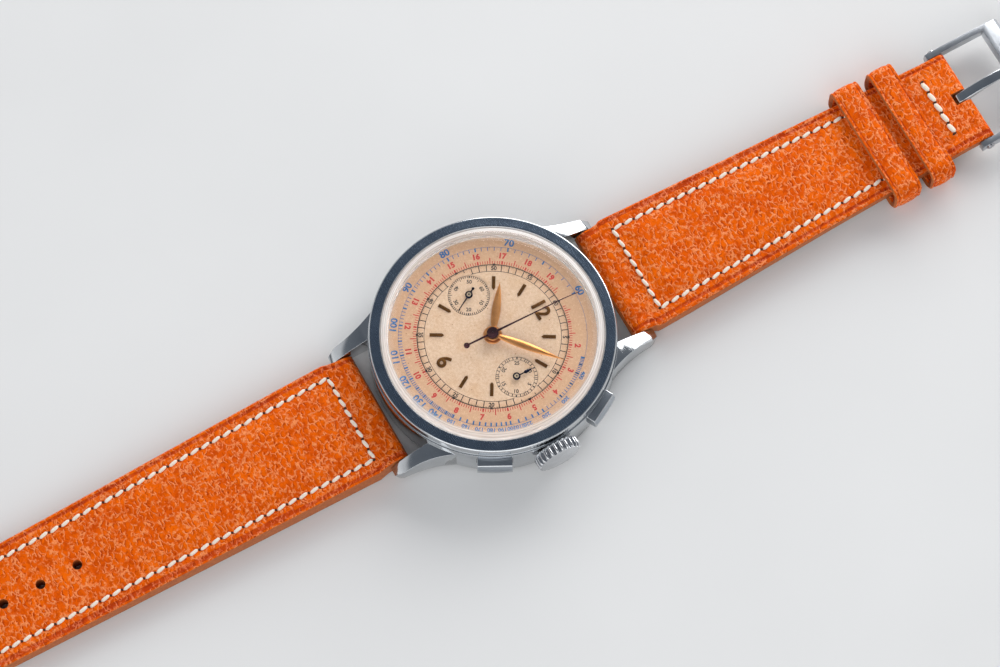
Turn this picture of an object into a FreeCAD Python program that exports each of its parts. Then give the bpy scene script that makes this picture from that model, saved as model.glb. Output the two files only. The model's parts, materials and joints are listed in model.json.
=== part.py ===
import FreeCAD, Part
import math
import os

V = FreeCAD.Vector
UP = V(0, 0, 1)

# Millimetres. The origin is the centre of the flat case back. +X leaves by the crown at 3 o'clock,
# +Y by 12 o'clock and the buckle half of the strap, +Z by the dial. Places are (x, y) pairs.

# ---- heights, stacked from the case back up to the dial
back_thickness = 0.6
works_air = 0.2
works_depth = 1.6          # chronograph works, between the case back and the bridges
bridge_thickness = 0.6
train_depth = 1.6          # going train, between the bridges and the mainplate
plate_thickness = 1.6
motion_depth = 0.8         # motion works, between the mainplate and the dial
dial_thickness = 0.4

# ---- fits
shaft_gap = 0.03           # radial clearance of a running arbor
part_gap = 0.05            # between neighbouring pieces that do not touch
strap_gap = 0.15           # leather beside metal

# ---- case
case_wall = 3.35           # from the movement's bore to the outer edge of the bezel
band_swell = 0.15          # how far the middle case stands outside the bezel
back_inset = 1.1           # rim of the back inside the bezel's edge
back_chamfer = 2.1         # width of the sloping edge of the back
bezel_wall = 1.76          # from the crystal's seat to the bezel's edge
bezel_height = 2.0         # outer edge above the dial seat
bezel_slope = 0.2          # rise of the bezel towards the crystal
crystal_wall = 0.9
crystal_side = 2.3         # upright part of the crystal's edge
crystal_shoulder = 0.7
crystal_thickness = 1.2

# ---- lugs and spring bars
lug_gap = 18.0             # strap width between the lugs
lug_width = 1.8            # at the spring bar
lug_end_radius = 1.25
lug_top_z = 5.7            # where a lug leaves the case
lug_root_angle = 54.0      # from 12 or 6 o'clock to the outer side of a lug's root
lug_run = 11.6             # from the spring bar back to the hidden root
lug_flat_run = 7.2         # from the spring bar back to where the top starts to fall
lug_bow_run = 3.0          # from the spring bar back to the middle of that fall
lug_bow_drop = 0.85
bar_offset = 2.45          # spring bar beyond the middle case
bar_z = 2.05
bar_radius = 0.75
bar_tip_radius = 0.4
bar_tip_length = 0.9

# ---- crown, stem and pushers
control_z = 4.6            # height of the stem's and the pushers' axes
crown_radius = 3.5
crown_length = 1.9
crown_dome = 0.25
crown_flat = 2.4           # radius of the flat middle of the domed end
crown_flutes = 24
crown_flute_depth = 0.36
crown_air = 0.15           # between the middle case and the crown
crown_pull = 0.8           # travel from winding to hand-setting
crown_cover = 0.1          # length of tube that the pulled crown still covers
stem_radius = 0.6
stem_square = 0.75
stem_end = 9.6
tube_wall = 0.35
pusher_angle = 28.1        # of each pusher, either side of the crown
pusher_width = 5.15
pusher_height = 2.1
pusher_travel = 1.0
pusher_proud = 1.45        # outer face beyond the middle case
pusher_crown = 0.12        # bulge of that face
pusher_depth = 2.3
pusher_pin_radius = 0.55
pusher_bevel = 0.35

# ---- movement
movement_radius = 14.59997 # mainplate's edge
bridge_inset = 0.4         # bridges inside the mainplate's edge
pivot_inset = 1.4          # operating lever's pivot, likewise
hammer_inset = 1.5
pillar_inset = 1.7
tab_inset = 0.7            # outer face of the tabs that the pushers press
tab_depth = 0.5
tab_width = 1.6
arbor_radius = 0.22
post_radius = 0.3
pillar_width = 1.6
subdial_reach = 7.12       # sub-dial centres, at 9 and 3 o'clock
subdial_radius = 3.25
subdial_sink = 0.08
barrel_pin_radius = 0.5
wheel_thickness = 0.2
balance_radius = 3.7
balance_rim = 0.5
hair_turns = 2
hair_inner, hair_outer = 0.5, 2.3

# ---- gear train: teeth and modules
barrel_teeth, centre_leaves, barrel_module = 40, 8, 0.2492
centre_teeth, third_leaves, third_module = 48, 6, 0.1667
third_teeth, fourth_leaves, fourth_module = 45, 6, 0.1467
fourth_teeth, escape_leaves, escape_module = 60, 6, 0.0985
cannon_leaves, minute_teeth, minute_module = 8, 24, 0.225
minute_leaves, hour_teeth = 6, 24
crown_teeth, ratchet_teeth, winding_module = 16, 20, 0.34
runner_teeth, coupling_teeth, runner_module = 30, 15, 0.1733
counter_teeth, counter_module = 15, 0.24
winding_teeth, winding_tip = 10, 1.5
escape_teeth = 15
escape_radius = 2.2

# ---- hands
hour_length, hour_boss, hour_leaf = 8.2, 1.36, 1.0
minute_length, minute_boss, minute_leaf = 11.0, 1.0, 0.9
sweep_length, sweep_tail, sweep_boss = 14.1, 4.2, 0.8
seconds_length, seconds_tail = 2.9, 1.15
counter_length, counter_tail = 2.6, 0.8
small_boss = 0.45
hand_thickness = 0.14
hour_hand_air = 0.4        # above the dial
small_hand_air = 0.2
hand_step = 0.35           # from one centre hand up to the next
hour_angle, minute_angle = 306.3, 50.2
sweep_angle, seconds_angle, counter_angle = 1.6, 149.3, 3.0
marker_inner, marker_outer = 7.05, 9.15
marker_width, marker_height = 0.5, 0.12
marker_point = 0.3         # length of a baton's pointed inner end
stem_half = 0.14           # half width of a leaf hand where it leaves its ring
sweep_root, sweep_point = 0.22, 0.08  # half widths of the sweep hand at its boss and its tip

# ---- straps, keepers and buckle
strap_thickness = 3.8      # at the lugs
strap_end_thickness = 2.7
strap_width = 18.6         # just beyond the lugs
strap_tail_width = 15.4
strap_shoulder = 1.9       # from the spring bar to where the strap widens
strap_lift = 1.5           # underside at the keepers
buckle_reach = 80.1        # buckle bar from the centre
tail_reach = 128.0
hole_first, hole_pitch, hole_count, hole_radius = 68.0, 5.9, 7, 0.7
keeper_wall = 1.15
keeper_gap = 0.2
keeper_side_gap = 0.7
keeper_bevel = 0.7
keeper_offset = 11.0       # near side of the fixed keeper short of the buckle bar
keeper_pitch = 6.3         # from the sliding keeper to the fixed one
fixed_keeper_width, sliding_keeper_width = 4.2, 4.6
pad_run = 12.0             # from the spring bar to where the padding starts to fall
belly_run = 8.0            # the same on the underside of the buckle half
fall_run = 10.0            # the buckle half is thin from here short of the sliding keeper
tip_run = 9.0              # length of the pointed tail
tail_swell = 0.3           # the tail half at its first hole is this much thicker than its end
fold_run = 3.0             # full buckle width starts here short of the bar
buckle_bar_radius = 0.6
buckle_inner = 15.2
buckle_rail = 0.9
buckle_ear = 1.3           # rails beyond the bar, towards the case
buckle_length = 11.4
buckle_crossbar = 3.0
buckle_height = 2.1
tongue_width = 1.5
tongue_thickness = 0.9
tongue_slot = 2.0
slot_run = 2.4             # length of the slot from the bar towards the case

# ---- levels that follow from the heights
works_z = back_thickness + works_air
bridge_z = works_z + works_depth
train_z = bridge_z + bridge_thickness
plate_z = train_z + train_depth
motion_z = plate_z + plate_thickness
dial_z = motion_z + motion_depth
face_z = dial_z + dial_thickness
winding_low, winding_high = bridge_z - 0.26, bridge_z - 0.03
lever_low, lever_high = bridge_z - 0.58, bridge_z - 0.33
wheel_low, wheel_high = bridge_z - 0.77, bridge_z - 0.65
heart_low, heart_high = bridge_z - 1.2, bridge_z - 0.95
steady_low, steady_high = works_z + 0.05, works_z + 0.3
centre_low = plate_z - 0.3
third_low = plate_z - 0.6
fourth_low = plate_z - 0.9
escape_low = plate_z - 1.27
barrel_low, barrel_high = train_z + 0.12, plate_z - 0.42
rim_low, rim_high = train_z - 0.5, train_z - 0.1
hair_low, hair_high = works_z + 1.3, works_z + 1.5
cock_low, cock_high = works_z + 0.6, works_z + 1.2
minute_low = motion_z + 0.1
hour_low = motion_z + 0.45
hour_hand_z = face_z + hour_hand_air
minute_hand_z = hour_hand_z + hand_thickness + hand_step
sweep_hand_z = minute_hand_z + hand_thickness + hand_step
small_hand_z = face_z + small_hand_air

# ---- radii of the centre arbors, each round the next
runner_radius = 0.2
centre_bore = runner_radius + shaft_gap
centre_radius = 0.45
cannon_radius = 0.75
hour_bore = cannon_radius + shaft_gap
hour_radius = 1.05


# ================================================================ building blocks
def disc(radius, low, high, at=(0, 0)):
    return Part.makeCylinder(radius, high - low, V(at[0], at[1], low))


def ring(outer, inner, low, high, at=(0, 0)):
    return disc(outer, low, high, at).cut(disc(inner, low, high, at))


def block(x0, x1, y0, y1, low, high):
    return Part.makeBox(x1 - x0, y1 - y0, high - low, V(x0, y0, low))


def prism(points, low, high):
    """Upright prism on a closed outline of (x, y) points."""
    corners = [V(x, y, low) for x, y in points]
    return Part.Face(Part.makePolygon(corners + corners[:1])).extrude(V(0, 0, high - low))


def pin(radius, low, high, at=(0, 0), sides=10):
    """Pin or plate on a regular outline inside the given radius."""
    return prism([polar(radius, (side + 0.5) * 360 / sides, at) for side in range(sides)], low, high)


def hole(radius, low, high, at=(0, 0), sides=10):
    """Cutter for a small hole: a regular outline just outside the given radius."""
    return pin(radius / math.cos(math.pi / sides), low, high, at, sides)


def turned(points):
    """Solid of revolution about Z on a closed outline of (radius, height) points."""
    corners = [V(r, 0, z) for r, z in points]
    return Part.Face(Part.makePolygon(corners + corners[:1])).revolve(V(0, 0, 0), UP, 360)


def wire(*edges):
    """Closed wire of runs: two points make a line, three an arc."""
    made = []
    for points in edges:
        made.append(Part.LineSegment(*points) if len(points) == 2 else Part.Arc(*points))
    return Part.Wire([edge.toShape() for edge in made])


def across(edges, start, width):
    """Solid of a side view: runs of (y, z) points, carried along X from start."""
    placed = [[V(start, y, z) for y, z in points] for points in edges]
    return Part.Face(wire(*placed)).extrude(V(width, 0, 0))


def lines(points):
    """Runs that join a list of points by straight lines and close it."""
    return [list(pair) for pair in zip(points, points[1:] + points[:1])]


def joined(shapes):
    shapes = list(shapes)
    return shapes[0].multiFuse(shapes[1:]).removeSplitter() if len(shapes) > 1 else shapes[0]


def without(shape, cuts):
    return shape.cut(cuts[0].multiFuse(cuts[1:]) if len(cuts) > 1 else cuts[0])


def rotated(shape, degrees, centre=(0, 0)):
    copy = shape.copy()
    copy.rotate(V(centre[0], centre[1], 0), UP, degrees)
    return copy


def polar(radius, degrees, centre=(0, 0)):
    """Point at an angle counted from +X towards +Y."""
    turn = math.radians(degrees)
    return centre[0] + radius * math.cos(turn), centre[1] + radius * math.sin(turn)


def clock(radius, degrees, centre=(0, 0)):
    """Point at an angle counted clockwise from 12 o'clock."""
    return polar(radius, 90 - degrees, centre)


def bearing(start, end):
    """Angle in degrees of the line from start to end."""
    return math.degrees(math.atan2(end[1] - start[1], end[0] - start[0]))


def strut(start, end, width, low, high):
    """Straight bar from one place to another."""
    bar = block(0, math.dist(start, end), -width / 2, width / 2, low, high)
    bar.rotate(V(0, 0, 0), UP, bearing(start, end))
    bar.translate(V(start[0], start[1], 0))
    return bar


def meeting(a, reach_a, b, reach_b, side):
    """Place at given distances from a and b, on the left (1) or right (-1) of the line a to b."""
    span = math.dist(a, b)
    along = (span ** 2 + reach_a ** 2 - reach_b ** 2) / (2 * span)
    off = side * math.sqrt(reach_a ** 2 - along ** 2)
    ux, uy = (b[0] - a[0]) / span, (b[1] - a[1]) / span
    return a[0] + along * ux - off * uy, a[1] + along * uy + off * ux


# ================================================================ gears
def gear_reach(teeth, module):
    return teeth * module / 2


def gear(teeth, module, low, high, centre, phase=0.0):
    """Disc with pointed teeth; phase is the angle of its first tooth."""
    outer = gear_reach(teeth, module) + 0.8 * module
    inner = gear_reach(teeth, module) - 1.1 * module
    points = []
    for tooth in range(teeth):
        middle = phase + tooth * 360 / teeth
        points.append(polar(outer, middle, centre))
        points.append(polar(inner, middle + 180 / teeth, centre))
    return prism(points, low, high)


def mesh_phase(driver, driver_teeth, driver_phase, driven, driven_teeth):
    """Phase in degrees that puts the driven gear's teeth in the driver's gaps."""
    line = bearing(driver, driven)
    share = ((driver_phase - line) * driver_teeth / 360) % 1
    return line + 180 - (share + 0.5) * 360 / driven_teeth


def crossed(wheel, hub, rim, low, high, centre, phase=45.0):
    """Opens four windows between the spokes of a wheel."""
    windows = []
    for side in range(4):
        middle = phase + side * 90
        points = [polar(hub, middle - 22, centre), polar(rim, middle - 36, centre), polar(rim, middle, centre),
                  polar(rim, middle + 36, centre), polar(hub, middle + 22, centre)]
        windows.append(prism(points, low, high))
    return without(wheel, windows)


# ================================================================ places in the movement
barrel_at = polar(gear_reach(barrel_teeth + centre_leaves, barrel_module), -50)
fourth_at = (-subdial_reach, 0)
counter_at = (subdial_reach, 0)
third_at = meeting((0, 0), gear_reach(centre_teeth + third_leaves, third_module),
                   fourth_at, gear_reach(third_teeth + fourth_leaves, fourth_module), -1)
escape_at = polar(gear_reach(fourth_teeth + escape_leaves, escape_module), 250, fourth_at)
pallet_at = polar(3.06, 286, escape_at)
balance_at = polar(3.34, 309, pallet_at)
minute_at = polar(gear_reach(cannon_leaves + minute_teeth, minute_module), 60)
hour_module = 2 * gear_reach(cannon_leaves + minute_teeth, minute_module) / (minute_leaves + hour_teeth)
crown_wheel_at = meeting(barrel_at, gear_reach(crown_teeth + ratchet_teeth, winding_module),
                         (11.4, -0.2), gear_reach(crown_teeth, winding_module), -1)
coupling_reach = gear_reach(runner_teeth + coupling_teeth, runner_module)
coupling_engaged = meeting(fourth_at, coupling_reach, (0, 0), coupling_reach, 1)
coupling_lift = 5.6        # degrees that the coupling wheel stands off the runner at rest
coupling_at = polar(coupling_reach, bearing(fourth_at, coupling_engaged) + coupling_lift, fourth_at)
column_at = polar(10.3, 48)

# ---- radii that follow from the movement's outwards
case_bore = movement_radius + part_gap
case_radius = case_bore + case_wall
band_radius = case_radius + band_swell
back_radius = case_radius - back_inset
back_flat_radius = back_radius - back_chamfer
bezel_opening = case_radius - bezel_wall
bar_reach = band_radius + bar_offset
crown_start = band_radius + crown_air
crown_hollow = crown_pull + crown_cover
pusher_face = band_radius + pusher_proud
bridge_radius = movement_radius - bridge_inset
tab_radius = movement_radius - tab_inset
fixed_keeper_place = buckle_reach - keeper_offset
sliding_keeper_place = fixed_keeper_place - keeper_pitch

# ---- places at the movement's edge
operating_pivot = polar(movement_radius - pivot_inset, 70)
hammer_pivot = (movement_radius - hammer_inset, -1.6)
click_pivot = (7.2, -9.6)
pillar_reach = movement_radius - pillar_inset
barrel_pillars = [polar(pillar_reach, 53), polar(pillar_reach, -57), polar(7.44, 54)]
train_pillars = [(-11.5, 4.5), (-3.5, 10.5), (-12.2, -3.6)]
cock_foot = (0.8, -10.9)


# ================================================================ case
def lug():
    """The lug at 1 o'clock: hollow-sided in plan, falling and rounded in side view."""
    inner = lug_gap / 2
    outer = inner + lug_width
    end = bar_reach + lug_end_radius
    root = clock(case_radius - 0.4, lug_root_angle)
    waist = ((root[0] + outer) / 2 - 0.9, (root[1] + bar_reach) / 2 + 0.1)
    start = bar_reach - lug_run
    plan = wire([V(inner, start, 0), V(root[0], start, 0)], [V(root[0], start, 0), V(*root, 0)],
                [V(*root, 0), V(*waist, 0), V(outer, bar_reach, 0)],
                [V(outer, bar_reach, 0), V(outer - 0.5, end, 0)],
                [V(outer - 0.5, end, 0), V(inner, end, 0)], [V(inner, end, 0), V(inner, start, 0)])
    upright = Part.Face(plan).extrude(V(0, 0, dial_z))
    brow = (bar_reach + 0.3, bar_z + lug_end_radius * 0.97)
    nose = (end, bar_z + 0.35)
    chin = (bar_reach + 0.55, bar_z - lug_end_radius * 0.9)
    foot = (bar_reach - 1.2, bar_z - lug_end_radius)
    heel = (start, back_thickness + part_gap)
    top = (start, lug_top_z)
    shoulder = (bar_reach - lug_flat_run, lug_top_z)
    bow = (bar_reach - lug_bow_run, lug_top_z - lug_bow_drop)
    side = [[heel, top], [top, shoulder], [shoulder, bow, brow], [brow, nose],
            [nose, chin], [chin, foot], [foot, heel]]
    return upright.common(across(side, 0, case_radius))


def at_pusher(shape, sign):
    """Turns a shape built along +X to the upper (1) or lower (-1) pusher."""
    return rotated(shape, sign * pusher_angle)


def rod(radius, start, end, height=control_z):
    """Round bar along +X at the height of the controls."""
    return Part.makeCylinder(radius, end - start, V(start, 0, height), V(1, 0, 0))


def lying(shape, start, height=control_z):
    """Lays an upright shape along +X from start."""
    shape.rotate(V(0, 0, 0), V(0, 1, 0), 90)
    shape.translate(V(start, 0, height))
    return shape


def bored(radius, start, end, height=control_z, sides=10):
    """Cutter for a small hole along +X."""
    return lying(hole(radius, 0, end - start, sides=sides), start, height)


tube_radius = stem_radius + shaft_gap + tube_wall
pocket_floor = pusher_face - pusher_depth - pusher_travel - part_gap


def mid_case():
    foot_z = back_thickness + part_gap
    band = ring(band_radius, case_bore, foot_z, dial_z - part_gap)
    right = lug()
    pair = [right, right.mirror(V(0, 0, 0), V(1, 0, 0))]
    lugs = pair + [shape.mirror(V(0, 0, 0), V(0, 1, 0)) for shape in pair]
    clear = disc(case_bore, 0, dial_z)
    body = joined([band] + [shape.cut(clear) for shape in lugs])
    reach = case_radius + 1
    cuts = [bored(tube_radius, case_bore - 1, reach)]
    for sign in (1, -1):
        width, height = pusher_width + 2 * part_gap, pusher_height + 2 * part_gap
        pocket = block(pocket_floor, reach, -width / 2, width / 2,
                       control_z - height / 2, control_z + height / 2)
        cuts.append(at_pusher(pocket, sign))
        cuts.append(at_pusher(bored(pusher_pin_radius + shaft_gap, case_bore - 1, pocket_floor + 1), sign))
        half = lug_gap / 2 + bar_tip_length + part_gap
        tips = bored(bar_tip_radius + shaft_gap, -half, half, bar_z, 8)
        tips.translate(V(0, sign * bar_reach, 0))
        cuts.append(tips)
    return without(body, cuts)


def bezel():
    rim_z = dial_z + bezel_height
    return turned([(bezel_opening, dial_z), (case_radius, dial_z), (case_radius, rim_z),
                   (bezel_opening, rim_z + bezel_slope)])


def crystal():
    outer = bezel_opening - shaft_gap
    inner = outer - crystal_wall
    foot_z = face_z + part_gap
    side_z = foot_z + crystal_side
    brow_z = side_z + crystal_shoulder
    eave_z = brow_z - crystal_thickness
    return turned([(inner, foot_z), (outer, foot_z), (outer, side_z), (outer - crystal_shoulder, brow_z),
                   (0, brow_z), (0, eave_z), (inner, eave_z)])


def case_back():
    return turned([(0, 0), (back_flat_radius, 0), (back_radius, back_thickness), (0, back_thickness)])


def spring_bar(reach, half, height, radius, tip, tip_length):
    """Sprung bar along X: a barrel, and two tips that spring into their holes."""
    barrel_half, tip_half = half - part_gap, half + tip_length
    pieces = [pin(radius, -barrel_half, barrel_half, sides=16), pin(tip, -tip_half, tip_half, sides=8)]
    bar = lying(joined(pieces), 0, height)
    bar.translate(V(0, reach, 0))
    return bar


def spring_bars():
    return Part.makeCompound([spring_bar(sign * bar_reach, lug_gap / 2, bar_z, bar_radius, bar_tip_radius,
                                         bar_tip_length) for sign in (1, -1)])


def crown_tube():
    start, end = case_bore, crown_start + crown_hollow - part_gap
    tube = lying(pin(tube_radius, 0, end - start), start)
    return tube.cut(bored(stem_radius + shaft_gap, start, end))


# ================================================================ movement: plates and bridges
def tab_notch(low, high, sign):
    inner = tab_radius - tab_depth - pusher_travel - 0.2
    half = tab_width / 2 + 0.7
    return at_pusher(block(inner, movement_radius + 1, -half, half, low, high), sign)


winding_start, winding_end = 11.0, 12.0


def mainplate():
    plate = pin(movement_radius, plate_z, motion_z, sides=48)
    cuts = [hole(centre_radius + shaft_gap, plate_z, motion_z),
            hole(barrel_pin_radius + shaft_gap, plate_z, motion_z, barrel_at)]
    for place in (third_at, escape_at, pallet_at, balance_at, fourth_at, counter_at):
        cuts.append(hole(arbor_radius + shaft_gap, plate_z, motion_z, place))
    half = stem_radius + part_gap
    cuts.append(block(stem_end - part_gap, movement_radius + 1, -half, half, plate_z, plate_z + half))
    half = winding_tip + part_gap
    cuts.append(block(winding_start - part_gap, winding_end + part_gap, -half, half, plate_z, motion_z))
    cuts += [tab_notch(plate_z, control_z + 0.7, sign) for sign in (1, -1)]
    post = pin(post_radius, motion_z, hour_low + wheel_thickness, minute_at)
    return joined([without(plate, cuts), post])


def pillar(place):
    """Foot of a bridge that stands on the mainplate."""
    half = pillar_width / 2
    x, y = place
    return block(x - half, x + half, y - half, y + half, train_z, plate_z)


divide_low, divide_high = 2.0, -2.4     # where the bridges part, at y = -2 and beyond 12 o'clock


def barrel_bridge():
    """Over the barrel side; its posts carry the winding wheels and the chronograph levers."""
    edge = bridge_radius + 1
    region = pin(bridge_radius, bridge_z, train_z, sides=32).common(
        prism([(3.6, -edge), (divide_low, -2), (divide_high, edge), (edge, edge), (edge, -edge)],
              bridge_z, train_z))
    cuts = [hole(barrel_pin_radius + shaft_gap, bridge_z, train_z, barrel_at),
            hole(arbor_radius + shaft_gap, bridge_z, train_z, counter_at)]
    cuts += [tab_notch(bridge_z, train_z, sign) for sign in (1, -1)]
    posts = [pin(post_radius, low, bridge_z, place) for low, place in (
        (winding_low, crown_wheel_at), (winding_low, click_pivot), (heart_low, hammer_pivot),
        (lever_low, operating_pivot), (heart_low, column_at))]
    return joined([without(region, cuts)] + posts + [pillar(place) for place in barrel_pillars])


coupling_boss_radius = 0.5


def train_bridge():
    """Over the wheels, cut clear of the balance; an arm holds the pallet fork's pivot."""
    edge = bridge_radius + 1
    gap = 0.3
    region = pin(bridge_radius, bridge_z, train_z, sides=32).common(
        prism([(divide_low - gap, -2), (divide_high - gap, edge), (-edge, edge), (-edge, -5), (-1, -5)],
              bridge_z, train_z)).cut(hole(balance_radius + 0.4, bridge_z, train_z, balance_at, 20))
    low, high = train_z, train_z + 0.2
    arm_end = polar(0.5, bearing(escape_at, pallet_at), pallet_at)
    arm = strut(polar(1.6, 200, escape_at), arm_end, 1.1, low, high)
    boss = pin(coupling_boss_radius, lever_low, bridge_z, fourth_at)
    cuts = [hole(centre_radius + shaft_gap, bridge_z, train_z),
            hole(arbor_radius + shaft_gap, bridge_z, train_z, third_at),
            hole(arbor_radius + shaft_gap, bridge_z, high, escape_at),
            hole(arbor_radius + shaft_gap, low, high, pallet_at),
            hole(arbor_radius + shaft_gap, lever_low, train_z, fourth_at)]
    return without(joined([region, arm, boss] + [pillar(place) for place in train_pillars]), cuts)


def balance_cock():
    """Arm from its own foot to the balance, with the stud of the hairspring."""
    arm = strut(cock_foot, polar(1.0, bearing(cock_foot, balance_at), balance_at), 1.9, cock_low, cock_high)
    foot = strut((cock_foot[0] - 0.6, cock_foot[1] - 1.2), (cock_foot[0] + 0.2, cock_foot[1] + 1.2), 2.2,
                 cock_low, plate_z)
    inner, outer = hair_outer - 0.05, hair_outer + 0.3
    stud = strut(polar(inner, hair_end_angle, balance_at), polar(outer, hair_end_angle, balance_at),
                 0.4, cock_high, hair_high)
    return joined([arm, foot, stud]).cut(hole(arbor_radius + shaft_gap, cock_low, cock_high, balance_at))


def chronograph_bridge():
    """Slim bridge under the pivots of the runner and the minute counter."""
    feet = [(3.0, 3.7), (10.2, 2.3)]
    arms = [strut(polar(0.6, bearing(feet[0], (0, 0)), (0, 0)), feet[0], 1.2, steady_low, steady_high),
            strut(feet[0], polar(0.6, bearing(*feet), feet[1]), 1.2, steady_low, steady_high),
            strut(polar(0.6, bearing(feet[1], counter_at), counter_at), feet[1], 1.2, steady_low, steady_high)]
    legs = [strut((x - 0.5, y), (x + 0.5, y), 1.0, steady_low, bridge_z) for x, y in feet]
    holes = [hole(arbor_radius + shaft_gap, steady_low, steady_high, place) for place in ((0, 0), counter_at)]
    return without(joined(arms + legs), holes)


# ================================================================ going train
barrel_phase = mesh_phase((0, 0), centre_leaves, 0, barrel_at, barrel_teeth)
third_pinion_phase = mesh_phase((0, 0), centre_teeth, 0, third_at, third_leaves)
fourth_pinion_phase = mesh_phase(third_at, third_teeth, 0, fourth_at, fourth_leaves)
escape_pinion_phase = mesh_phase(fourth_at, fourth_teeth, 0, escape_at, escape_leaves)
minute_wheel_phase = mesh_phase((0, 0), cannon_leaves, 0, minute_at, minute_teeth)
hour_wheel_phase = mesh_phase(minute_at, minute_leaves, 0, (0, 0), hour_teeth)
coupling_phase = mesh_phase(fourth_at, runner_teeth, 0, coupling_at, coupling_teeth)
runner_phase = mesh_phase(coupling_engaged, coupling_teeth, coupling_phase, (0, 0), runner_teeth)
ratchet_phase = mesh_phase(crown_wheel_at, crown_teeth, 0, barrel_at, ratchet_teeth)
hair_end_angle = -30.0


def barrel():
    """Closed spring drum with its teeth round the floor."""
    reach = gear_reach(barrel_teeth, barrel_module)
    drum = joined([gear(barrel_teeth, barrel_module, barrel_low, barrel_low + 0.3, barrel_at, barrel_phase),
                   pin(reach - 1.4 * barrel_module, barrel_low, barrel_high, barrel_at, 24)])
    return drum.cut(hole(barrel_pin_radius + shaft_gap, barrel_low, barrel_high, barrel_at))


half_square = 0.34         # half of the square that carries the ratchet wheel


def ratchet_square(low, high):
    x, y = barrel_at
    return block(x - half_square, x + half_square, y - half_square, y + half_square, low, high)


def barrel_arbor():
    return joined([pin(barrel_pin_radius, winding_high, plate_z + 0.8, barrel_at),
                   ratchet_square(winding_low, winding_high)])


cannon_top = minute_hand_z + hand_thickness


def centre_wheel():
    """Hollow centre arbor with its pinion below and the great wheel above."""
    high = centre_low + wheel_thickness
    reach = gear_reach(centre_teeth, third_module)
    wheel = crossed(gear(centre_teeth, third_module, centre_low, high, (0, 0)), 1.3, reach - 0.7,
                    centre_low, high, (0, 0))
    pinion = gear(centre_leaves, barrel_module, train_z + 0.1, centre_low, (0, 0))
    tube = pin(centre_radius, bridge_z + 0.05, cannon_top)
    return joined([wheel, pinion, tube]).cut(hole(centre_bore, bridge_z, cannon_top))


def cannon_pinion():
    low, high = motion_z + 0.05, hour_low - 0.05
    leaves = gear(cannon_leaves, minute_module, low, high, (0, 0))
    return joined([leaves, pin(cannon_radius, low, cannon_top)]).cut(hole(centre_radius, low, cannon_top))


def minute_wheel():
    wheel = gear(minute_teeth, minute_module, minute_low, hour_low - 0.05, minute_at, minute_wheel_phase)
    pinion = gear(minute_leaves, hour_module, hour_low - 0.05, hour_low + wheel_thickness, minute_at)
    bore = hole(post_radius + shaft_gap, minute_low, hour_low + wheel_thickness, minute_at)
    return joined([wheel, pinion]).cut(bore)


def hour_wheel():
    wheel = gear(hour_teeth, hour_module, hour_low, hour_low + wheel_thickness, (0, 0), hour_wheel_phase)
    top = hour_hand_z + hand_thickness
    return joined([wheel, pin(hour_radius, hour_low, top)]).cut(hole(hour_bore, hour_low, top))


def third_wheel():
    high = third_low + wheel_thickness
    wheel = gear(third_teeth, fourth_module, third_low, high, third_at)
    pinion = gear(third_leaves, third_module, high, centre_low + wheel_thickness, third_at, third_pinion_phase)
    return joined([wheel, pinion, pin(arbor_radius, bridge_z, motion_z - 0.8, third_at)])


def fourth_wheel():
    """Reaches from the chronograph's driving wheel, below the bridge, to the small seconds hand."""
    high = fourth_low + wheel_thickness
    wheel = gear(fourth_teeth, escape_module, fourth_low, high, fourth_at)
    pinion = gear(fourth_leaves, fourth_module, high, third_low + wheel_thickness, fourth_at,
                  fourth_pinion_phase)
    driver = gear(runner_teeth, runner_module, wheel_low, wheel_high, fourth_at)
    return joined([wheel, pinion, driver, pin(arbor_radius, wheel_low, small_hand_z, fourth_at)])


def escape_wheel():
    """Each tooth leans forward and ends in a small flat."""
    points = []
    pitch = 360 / escape_teeth
    for tooth in range(escape_teeth):
        turn = tooth * pitch
        points.append(polar(escape_radius * 0.74, turn - 0.30 * pitch, escape_at))
        points.append(polar(escape_radius * 0.96, turn, escape_at))
        points.append(polar(escape_radius, turn + 0.16 * pitch, escape_at))
    high = escape_low + wheel_thickness
    wheel = prism(points, escape_low, high)
    pinion = gear(escape_leaves, escape_module, high, fourth_low + wheel_thickness, escape_at,
                  escape_pinion_phase)
    return joined([wheel, pinion, pin(arbor_radius, bridge_z, motion_z - 0.8, escape_at)])


def pallet_fork():
    """Lever with two stones that stand just off the escape wheel, and a fork towards the balance."""
    low, high = escape_low, escape_low + wheel_thickness
    to_wheel, to_balance = bearing(pallet_at, escape_at), bearing(pallet_at, balance_at)
    pieces = [pin(arbor_radius, train_z, motion_z - 0.8, pallet_at, 8)]
    for side in (1, -1):
        elbow = polar(1.55, to_wheel + side * 66, pallet_at)
        pieces.append(strut(pallet_at, elbow, 0.34, low, high))
        pieces.append(strut(elbow, polar(0.5, to_wheel, elbow), 0.3, low, high))
        root = polar(2.0, to_balance + side * 7, pallet_at)
        pieces.append(strut(root, polar(0.55, to_balance, root), 0.14, low, high))
    pieces.append(strut(pallet_at, polar(2.1, to_balance, pallet_at), 0.6, low, high))
    return joined(pieces)


def balance_wheel():
    """Two-armed balance with its staff, roller and impulse pin."""
    rim = pin(balance_radius, rim_low, rim_high, balance_at, 24).cut(
        pin(balance_radius - balance_rim, rim_low, rim_high, balance_at, 24))
    reach = balance_radius - balance_rim / 2
    arm = strut(polar(reach, 40, balance_at), polar(reach, 220, balance_at), 0.5, rim_low + 0.1, rim_high - 0.1)
    roller = pin(0.75, rim_high - 0.1, escape_low - 0.05, balance_at, 8)
    place = polar(0.6, bearing(balance_at, pallet_at), balance_at)
    impulse = strut(polar(0.08, 0, place), polar(0.08, 180, place), 0.14, escape_low - 0.05,
                    escape_low + wheel_thickness)
    staff = pin(arbor_radius, cock_low, motion_z - 0.8, balance_at)
    return joined([rim, arm, roller, impulse, staff])


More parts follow.
